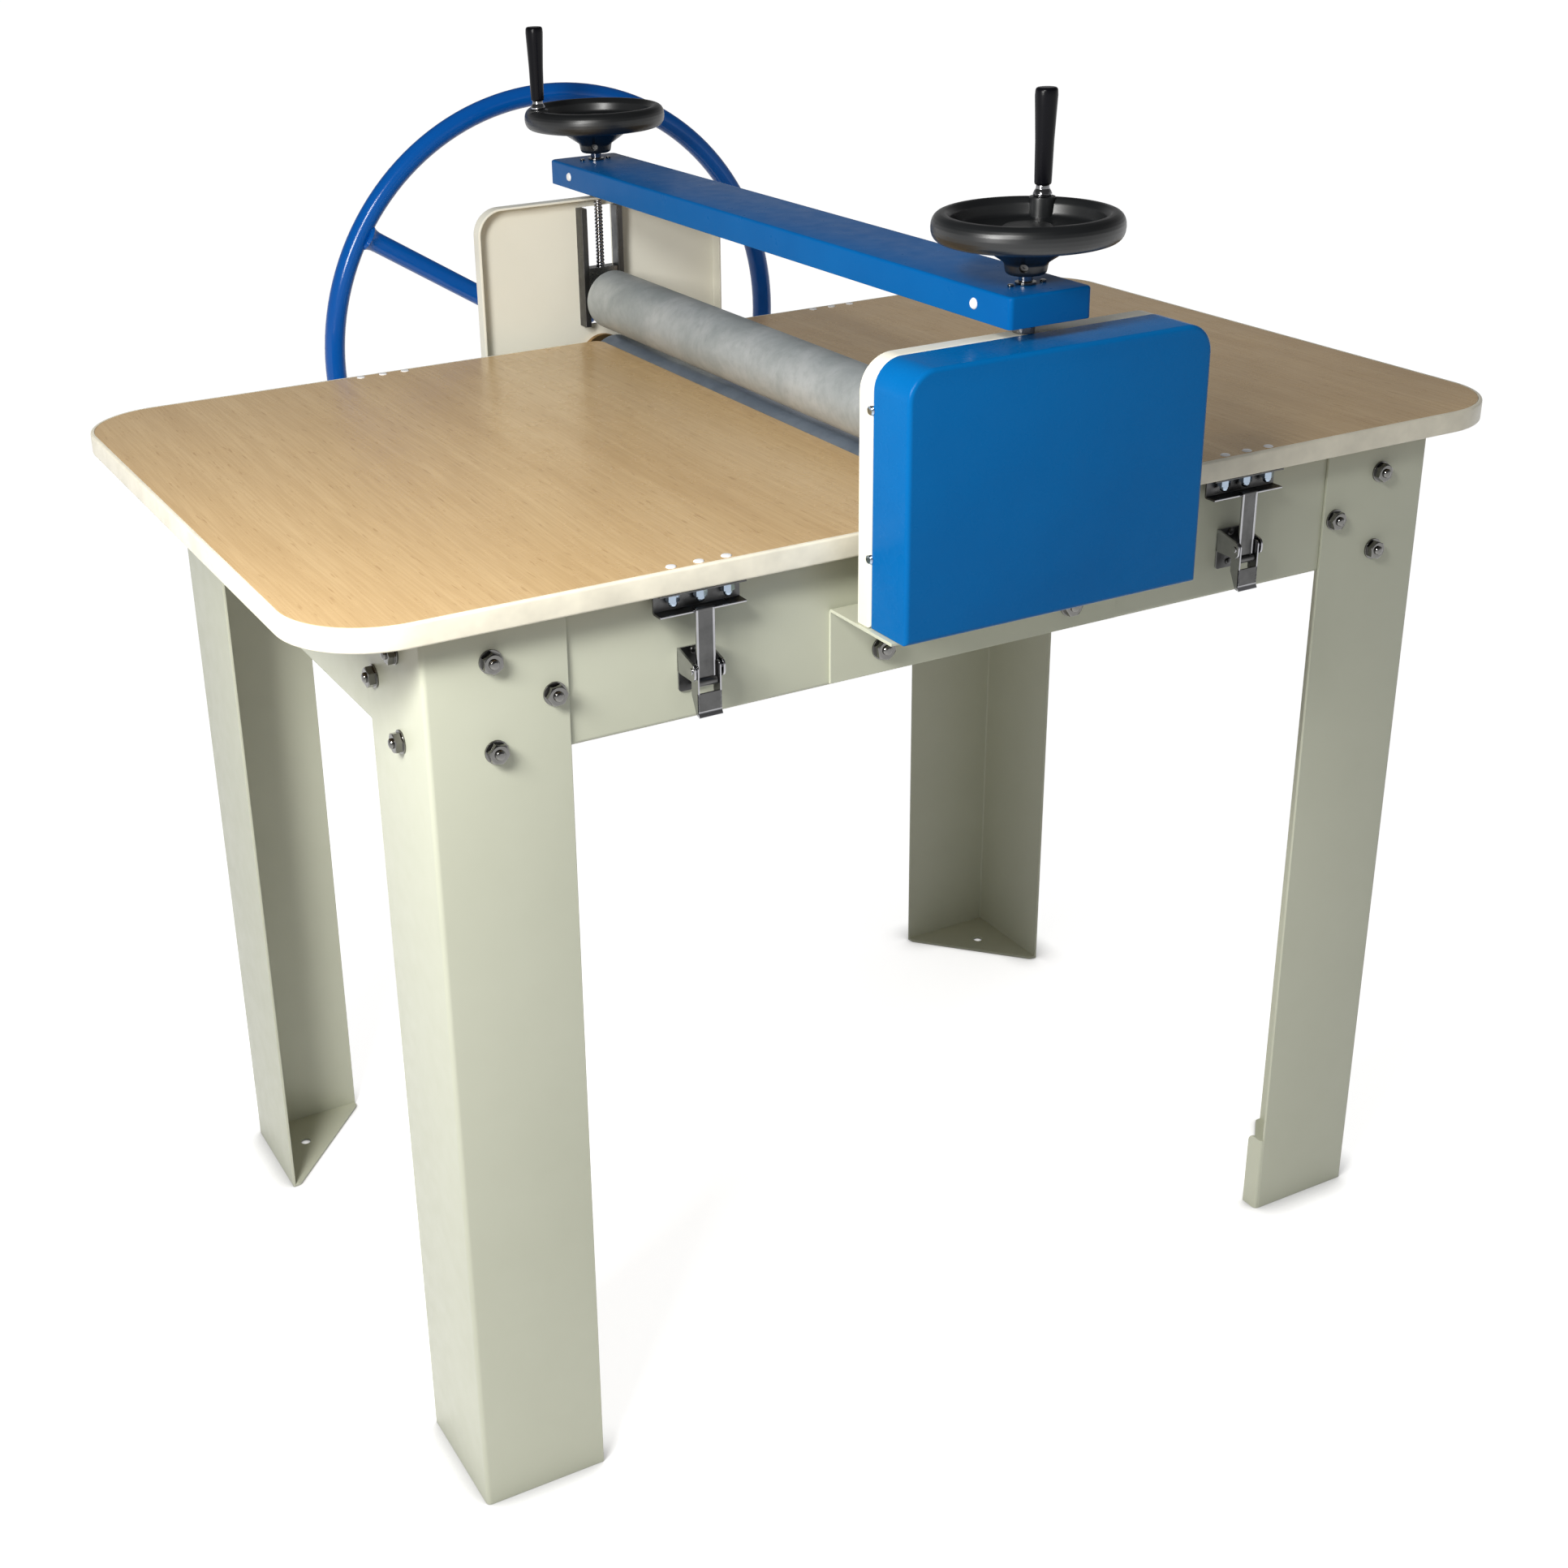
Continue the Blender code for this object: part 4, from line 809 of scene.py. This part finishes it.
def drive_wheel():
    """Tubular rim on three flared spokes, a bored hub, and the domed cap on the axle's end."""
    tube, bore, hub = 0.0120, 0.0123, 0.028
    ring_radius = WHEEL_OUT - tube
    half = (high("drive_wheel").y - low("drive_wheel").y) / 2
    first_spoke = 148
    bm = bmesh.new()
    around, across = 144, 20
    grid = []
    for i in range(around):
        a = 2 * pi * i / around
        row = []
        for j in range(across):
            b = 2 * pi * j / across
            size = ring_radius + tube * cos(b)
            row.append(bm.verts.new((size * cos(a), WHEEL_Y + tube * sin(b), LOWER_Z + size * sin(a))))
        grid.append(row)
    for one, other in zip(grid, grid[1:] + grid[:1]):
        bridge(bm, one, other)
    boss = turned(eased([(bore, -half), (hub, -half), (hub, half), (bore, half)], 0.0012), (0, WHEEL_Y, LOWER_Z),
                  "Y", 64, closed=True)
    parts = [bm, boss]
    reach = ring_radius - tube * 0.9
    spoke = [(0.0116, hub * 0.7), (0.0150, hub * 0.96), (0.0150, hub + 0.0010), (0.0122, hub + 0.0042),
             (0.0116, hub + 0.009), (0.0116, reach - 0.016), (0.0119, reach - 0.009), (0.0132, reach - 0.004),
             (0.0162, reach + 0.0006), (0.0150, reach + 0.004)]
    for k in range(3):
        lean = Matrix.Rotation(-radians(first_spoke + 120 * k), 4, "Y") @ LAY["X"]
        parts.append(turned([(0, spoke[0][1])] + spoke + [(0, spoke[-1][1])], (0, WHEEL_Y, LOWER_Z), lean, 28))
    show("hand_wheel_rim", joined(*parts), WHEEL_BLUE, "blue_paint", "drive", "drive_wheel", smooth=50)
    start = low("hub_cap").y - MID_Y
    dome = [(0, start), (0.019, start), (0.019, start + 0.0030), (0.0165, start + 0.0058), (0.0105, start + 0.0076),
            (0, start + 0.0080)]
    show("axle_cap", turned(eased(dome, 0.0012), (0, 0, LOWER_Z), "Y", 56), CHROME, "chrome", "drive", "hub_cap",
         smooth=45)


# ---- latches

PIVOT_Y, PIVOT_Z = -0.3815, 0.822       # the lever's pin in the base
HOOK_Y, HOOK_Z = -0.380, 0.810          # the strap's pin in the lever


def latch_keeper(name, x, far):
    """Channel under the table's edge, with three nuts below it and the table screws above it."""
    node = f"latch_keeper_{name}"
    sheet, half, spacing = 0.002, 0.041, 0.026
    top, bottom = high(node).z, low(node).z
    web, nose = -(HALF_W - 0.0170), -(HALF_W - 0.0025)
    nut_y, screw_y = -(HALF_W - 0.0085), -(HALF_W - 0.0100)
    section = rounded([(web, top, 0.0022), (web, bottom, 0.0022), (nose, bottom, 0.0007),
                       (nose, bottom + sheet, 0.0007), (web - sheet, bottom + sheet, 0.0006),
                       (web - sheet, top - sheet, 0.0006), (nose, top - sheet, 0.0007), (nose, top, 0.0007)])
    bm = sided(prism(section, "X", x - half, x + half), far)
    # Painted shade: the channel is dark steel for the shade under the table's edge, and only its lower lip keeps the
    # chrome.
    piece = show(f"{name}_keeper", bm, DARK_STEEL_AND_PAINTED_SHADE, "steel", "frame", node, bevel=0.0003)
    two_tone(piece, CHROME, lambda face: face.center.z < bottom + 2 * sheet and
             abs(face.center.y - MID_Y) > -nose - 0.002)
    for k, shift in enumerate((-spacing, 0.0, spacing)):
        bm = nut((x + shift, nut_y, top - sheet), Matrix.Rotation(pi, 4, "X"), **KEEPER_NUT)
        show(f"{name}_keeper_nut_{k}", sided(bm, far), NUT, "steel", "frame", smooth=25)
        head = eased([(0, TABLE_Z - 0.002), (0.0042, TABLE_Z - 0.002), (0.0047, TABLE_Z + 0.0001),
                      (0.0040, TABLE_Z + 0.0009), (0, TABLE_Z + 0.0014)], 0.0004)
        bm = turned(head, (x + shift, screw_y, 0), "Z", 28)
        show(f"{name}_table_screw_{k}", sided(bm, far), SCREW_PAINTED_HIGHLIGHT, "steel", "frame", smooth=40)


def latch_base(name, x, far):
    """Plate on the rail with two slanted ears for the lever, and its two rivets."""
    node = f"latch_base_{name}"
    back, front = -RAIL_FACE - GAP, PIVOT_Y - 0.0055
    bottom, top, half = low(node).z, high(node).z, 0.015
    ear = rounded([(back, top - 0.021, 0), (back - 0.004, top - 0.022, 0.002), (front, PIVOT_Z - 0.009, 0.006),
                   (front, PIVOT_Z + 0.006, 0.006), (back - 0.003, top, 0.002), (back, top, 0)])
    plate = rounded([(x - half, bottom, 0.003), (x + half, bottom, 0.003), (x + half, top, 0.003),
                     (x - half, top, 0.003)])
    rivet = eased([(0, back - 0.0018), (0.0036, back - 0.0018), (0.0030, back - 0.0034), (0, back - 0.0040)], 0.0004)
    parts = [prism(plate, "Y", back - 0.0019, back)]
    parts += [prism(ear, "X", x + s * 0.013, x + s * half) for s in (-1, 1)]
    parts += [turned(rivet, (x, 0, PIVOT_Z + shift), "Y", 24) for shift in (-0.021, 0.009)]
    piece = show(f"{name}_latch_base", sided(joined(*parts), far), CHROME, "chrome", "frame", node, bevel=0.0003)
    # Painted shade: the plate's faces next to the rail, behind the lever and strap, are dark steel.
    two_tone(piece, DARK_STEEL_AND_PAINTED_SHADE, lambda face: abs(face.center.y - MID_Y) < -back + 0.0045 and
             abs(face.normal.y) > 0.2)


def latch_lever(name, x, far):
    """Cranked handle between two cheeks, with the strap's pin and two stubs in the base's ears."""
    node = f"latch_lever_{name}"
    face, inner = PIVOT_Y - 0.0045, PIVOT_Y + 0.0075
    top, tail, half, sheet = high(node).z, low(node).z, 0.0113, 0.0015
    cheek = rounded([(inner, top - 0.001, 0.003), (inner, HOOK_Z - 0.012, 0.004), (face + 0.004, tail + 0.001, 0.002),
                     (face, tail, 0.001), (face, top, 0.004)])
    pad = rounded([(face, HOOK_Z - 0.008, 0.0004), (face, tail + 0.004, 0.004), (face - 0.0022, tail, 0.0005),
                   (face - 0.0008, tail - 0.0002, 0.0005), (face + 0.0015, tail + 0.004, 0.003),
                   (face + 0.0015, HOOK_Z - 0.008, 0.0004)])
    pin = eased([(0, -0.0112), (0.0020, -0.0112), (0.0020, 0.0112), (0, 0.0112)], 0.0002)
    stub = eased([(0, 0.0100), (0.0020, 0.0100), (0.0020, 0.0150), (0.0031, 0.0150), (0.0028, 0.0159), (0, 0.0162)],
                 0.0003)
    parts = [prism(cheek, "X", x + s * (half - sheet), x + s * half) for s in (-1, 1)]
    parts.append(prism(pad, "X", x - half, x + half))
    parts.append(turned(pin, (x, HOOK_Y, HOOK_Z), "X", 20))
    for turn in (Matrix.Rotation(pi, 4, "Z") @ LAY["X"], LAY["X"]):
        parts.append(turned(stub, (x, PIVOT_Y, PIVOT_Z), turn, 20))
    piece = show(f"{name}_latch_lever", sided(joined(*parts), far), CHROME, "chrome", f"lever_{name}", node,
                 bevel=0.0003)
    # Painted shade: the faces between the cheeks, inside the handle, are dark steel.
    two_tone(piece, DARK_STEEL_AND_PAINTED_SHADE, lambda face: abs(abs(face.center.x) - LATCH_X) < 0.0099 and
             face.center.z > tail + 0.008)


def latch_strap(name, x, far):
    """Flanged strap with an eye on the lever's pin and a hook over the keeper."""
    node = f"latch_strap_{name}"
    top, outer, half = high(node).z, -HALF_W, 0.0088
    inner, edge = outer + 0.0016, 0.0011
    wings = []
    for s in (-1, 1):
        a, b = sorted((x + s * 0.0090, x + s * 0.0066))
        wing_section = rounded([(a, outer - 0.0003, 0.0009), (b, outer - 0.0003, 0.0009), (b, inner + edge, 0.0009),
                                (a, inner + edge, 0.0009)])
        wings.append(prism(wing_section, "Z", HOOK_Z + 0.004, top - 0.0015))
    plate = prism([(x - half, outer + 0.0005), (x + half, outer + 0.0005), (x + half, inner), (x - half, inner)], "Z",
                  HOOK_Z + 0.0035, top - 0.001)
    hook = prism(rounded([(outer, top - 0.004, 0.0008), (outer + 0.002, top - 0.004, 0.0004),
                          (outer + 0.002, top - 0.002, 0.0004), (outer + 0.0065, top - 0.002, 0.0008),
                          (outer + 0.0065, top, 0.0008), (outer, top, 0.0017)]), "X", x - 0.009, x + 0.009)
    eye = turned([(0.0024, -0.009), (0.0040, -0.009), (0.0040, 0.009), (0.0024, 0.009)], (x, HOOK_Y, HOOK_Z), "X", 28,
                 closed=True)
    piece = show(f"{name}_latch_strap", sided(joined(plate, hook, eye, *wings), far), CHROME, "chrome",
                 f"strap_{name}", node, bevel=0.00025)
    # Painted shade: the strap's middle is dark steel between its bright chrome flanges.
    two_tone(piece, DARK_STEEL_AND_PAINTED_SHADE, lambda face: abs(abs(face.center.x) - LATCH_X) < 0.0064)


def latch(side, sy, end, sx):
    """One latch, drawn on the near side and turned half round for the far side."""
    x = LATCH_X if (sx > 0) != (sy > 0) else -LATCH_X
    for part in (latch_keeper, latch_base, latch_lever, latch_strap):
        part(f"{side}_{end}", x, sy > 0)


# ---- fixings

KEEPER_NUT = {"radius": 0.0052, "thick": 0.0062, "end_radius": 0.0040, "proud": 0.0048}
FRAME_NUT = {"radius": 0.0082, "thick": 0.0066, "end_radius": 0.0046, "proud": 0.0030, "washer": 0.0104}
SHELF_NUT = {"radius": 0.0088, "thick": 0.0066, "end_radius": 0.0048, "proud": 0.0030, "washer": 0.0110}


def nut(at, turn, radius, thick, end_radius, proud, washer=0.0):
    """Hexagon nut with turned corners on a bolt's rounded end, and a washer under it if asked.

    It stands on its seat at `at`, along the local Z that `turn` gives.
    """
    parts = []
    rise = 0.0
    if washer:
        rise = 0.0018
        parts.append(turned(eased([(0, 0), (washer, 0), (washer, rise), (0, rise)], 0.0003), (0, 0, 0), "Z", 40))
    end = rise + thick
    reach = radius / cos(pi / 6)
    hexagon = [(reach * cos(a), reach * sin(a)) for a in [pi / 6 + pi / 3 * k for k in range(6)]]
    cone = turned([(0, rise - 0.001), (radius * 1.2, rise - 0.001), (radius * 1.2, end - radius * 0.13),
                   (radius * 0.94, end), (0, end)], (0, 0, 0), "Z", 36)
    parts.append(carved(prism(hexagon, "Z", rise, end), [("INTERSECT", cone)]))
    parts.append(turned(eased([(0, rise), (end_radius, rise), (end_radius, end + proud * 0.4),
                               (end_radius * 0.86, end + proud * 0.75), (end_radius * 0.5, end + proud),
                               (0, end + proud * 1.1)], 0.0006), (0, 0, 0), "Z", 28))
    bm = joined(*parts)
    bmesh.ops.transform(bm, matrix=Matrix.Translation(at) @ turn, verts=bm.verts)
    return bm


def fixings():
    """Frame bolts, bracket bolts, cover and crossbar screws."""
    out_y = {-1: Matrix.Rotation(pi / 2, 4, "X"), 1: LAY["Y"]}
    out_x = {-1: Matrix.Rotation(-pi / 2, 4, "Y"), 1: LAY["X"]}
    spots = ((0.060, 0.860), (0.060, 0.780), (0.115, 0.820))    # inward from the leg's corner, and height
    shelf_x, shelf_z = 0.103, 0.794
    cover_y, cover_heights = -0.4155, (1.031, 0.903)
    bar_y, bar_z, bar_top_x, bar_top_out = 0.396, 1.1005, 0.0165, 0.002
    count = 0
    for side, sy in SIDES:
        for end, sx in ENDS:
            for k, (inward, z) in enumerate(spots):
                spin = Matrix.Rotation(radians(17 * count), 4, "Z")
                count += 1
                front = nut((sx * (LEG_X - inward), sy * LEG_Y, z), out_y[sy] @ spin, **FRAME_NUT)
                show(f"{side}_{end}_leg_bolt_{k}", front, BOLT, "chrome", "frame", smooth=25)
                edge = nut((sx * LEG_X, sy * (LEG_Y - inward), z), out_x[sx] @ spin, **FRAME_NUT)
                show(f"{side}_{end}_end_bolt_{k}", edge, BOLT, "chrome", "frame", smooth=25)
        for k, sx in enumerate((-1, 1)):
            spin = Matrix.Rotation(radians(11 + 23 * k), 4, "Z")
            bolt = nut((sx * shelf_x, sy * (RAIL_FACE + GAP + SHEET), shelf_z), out_y[sy] @ spin, **SHELF_NUT)
            show(f"{side}_shelf_bolt_{k}", bolt, BOLT, "chrome", "frame", smooth=25)
    dome = eased([(0, -0.0005), (0.0048, -0.0005), (0.0048, 0.0006), (0.0036, 0.0021), (0, 0.0027)], 0.0005)
    head = eased([(0, 0), (0.0026, 0), (0.0026, 0.0022), (0, 0.0022)], 0.0004)
    for k, sx in enumerate((-1, 1)):
        for j, z in enumerate(cover_heights):
            screw = turned(dome, (sx * COVER_HALF, cover_y, z), out_x[sx], 28)
            show(f"cover_screw_{k}{j}", screw, NUT, "chrome", "frame", smooth=40)
        for side, sy in SIDES:
            screw = turned(dome, (sx * BAR_HALF, sy * bar_y, bar_z), out_x[sx], 28)
            show(f"{side}_bar_screw_{k}", screw, SCREW_PAINTED_HIGHLIGHT, "chrome", "frame", smooth=40)
            screw = turned(head, (sx * bar_top_x, sy * (SPINDLE_Y + bar_top_out), BAR_TOP), "Z", 24)
            show(f"{side}_bar_top_screw_{k}", screw, BOLT, "chrome", "frame", smooth=40)


# ---- the press

for end, sx in ENDS:
    wing(end, sx > 0)
for side, sy in SIDES:
    for end, sx in ENDS:
        leg(side, sy, end, sx)
        latch(side, sy, end, sx)
    spindle(side, sy)
    handwheel(side, sy)
    crank(side)
rails()
brackets()
side_plates()
drive_cover()
crossbar()
NEAR_END, UPPER_END = low("upper_roller").y - MID_Y, high("upper_roller").y - MID_Y
roller("upper_roll", UPPER_Z, 0.010, NEAR_END, UPPER_END, "upper", ROLL, "upper_roller")
roller("lower_roll", LOWER_Z, 0.012, NEAR_END, AXLE_END, "drive", LOW_ROLL_PAINTED_SHADE_AND_SHEEN, "lower_roller")
drive_wheel()
fixings()
keep(IRON, 0.0003, "lower_gear", "upper_gear")
keep(BRONZE, 0.0004, "lower_bearing_near", "lower_bearing_far")
keep(ZINC, 0.0005, "bearing_block_near", "bearing_block_far", "spindle_post_near", "spindle_post_far")
keep(BOLT, 0.0003, "spindle_collar_near", "spindle_collar_far")


# ---- floor, light and camera

def floor():
    """Ground that is white where it is seen, with painted contact shade near what stands on it, and darker where
    something shades it.
    """
    size, glow, contact, fall = 60.0, 0.78, 0.045, 1.6
    mesh = bpy.data.meshes.new("floor")
    mesh.from_pydata([(-size, -size, 0), (size, -size, 0), (size, size, 0), (-size, size, 0)], [], [(0, 1, 2, 3)])
    placed("floor", mesh)
    material = bpy.data.materials.new("floor_white")
    material.use_nodes = True
    tree = material.node_tree
    tree.nodes.clear()
    path = add_node(tree, "LightPath").outputs
    # Ambient occlusion paints shade into the glow and the diffuse colour close to what stands on the floor.
    near = add_node(tree, "AmbientOcclusion", {"Distance": contact, "Color": (0.85, 0.85, 0.85, 1)}, samples=16).outputs
    seen = maths(tree, "ADD", path["Is Camera Ray"], path["Is Glossy Ray"], clamp=True)
    seen = maths(tree, "ADD", seen, path["Is Transmission Ray"], clamp=True)
    level = maths(tree, "MULTIPLY", seen, glow)
    strength = maths(tree, "MULTIPLY", level, maths(tree, "POWER", near["AO"], fall))
    diffuse = add_node(tree, "BsdfDiffuse", {"Color": near["Color"]})
    shine = add_node(tree, "Emission", {"Strength": strength})
    total = add_node(tree, "AddShader", {0: diffuse.outputs[0], 1: shine.outputs[0]})
    add_node(tree, "OutputMaterial", {0: total.outputs[0]})
    mesh.materials.append(material)


def world():
    """White where it is seen, dimmer overhead in reflections, and a low even fill for everything else."""
    made = bpy.data.worlds.new("studio")
    bpy.context.scene.world = made
    made.use_nodes = True
    tree = made.node_tree
    path = add_node(tree, "LightPath").outputs
    place = add_node(tree, "TexCoord").outputs["Generated"]
    height = add_node(tree, "SeparateXYZ", {0: place}).outputs["Z"]
    fade = add_node(tree, "MapRange", {"Value": height, "From Min": 0.02, "From Max": 0.45, "To Min": 0.55,
                                       "To Max": 0.06})
    glossy = add_node(tree, "Mix", {0: path["Is Glossy Ray"], 2: 0.30, 3: fade.outputs[0]})
    camera = add_node(tree, "Mix", {0: path["Is Camera Ray"], 2: glossy.outputs[0], 3: 1.0})
    back = tree.nodes["Background"]
    back.inputs["Color"].default_value = (1, 1, 1, 1)
    tree.links.new(camera.outputs[0], back.inputs["Strength"])


def lamp(name, place, target, size, watts, colour):
    light = bpy.data.lights.new(name, "AREA")
    light.shape = "RECTANGLE"
    light.size, light.size_y = size
    light.energy = watts
    light.color = colour
    made = placed(name, light)
    made.location = place
    made.rotation_euler = (Vector(target) - Vector(place)).to_track_quat("-Z", "Y").to_euler()


def camera():
    lens = bpy.data.cameras.new("camera")
    lens.sensor_width = 36.0
    lens.lens = 48.87
    lens.shift_x, lens.shift_y = 0.0883, -0.0355
    lens.clip_end = 200.0
    made = placed("camera", lens)
    turn = Matrix.Rotation(-0.4567, 4, "Z") @ Matrix.Rotation(pi / 2 - 0.4141, 4, "X") @ \
        Matrix.Rotation(-0.0354, 4, "Z")
    made.matrix_world = Matrix.Translation((-1.0710, -1.88635, 1.4975)) @ turn
    bpy.context.scene.camera = made


floor()
world()
AIM, WARM = (-0.1, -0.1, 0.65), (1.0, 0.99, 0.965)
lamp("key_high", (-1.57, -1.36, 2.25), AIM, (0.45, 0.45), 25.0, WARM)
lamp("key_low", (-1.28, -0.78, 1.50), AIM, (0.35, 0.35), 17.0, WARM)
camera()
bpy.context.scene.view_settings.view_transform = "Standard"
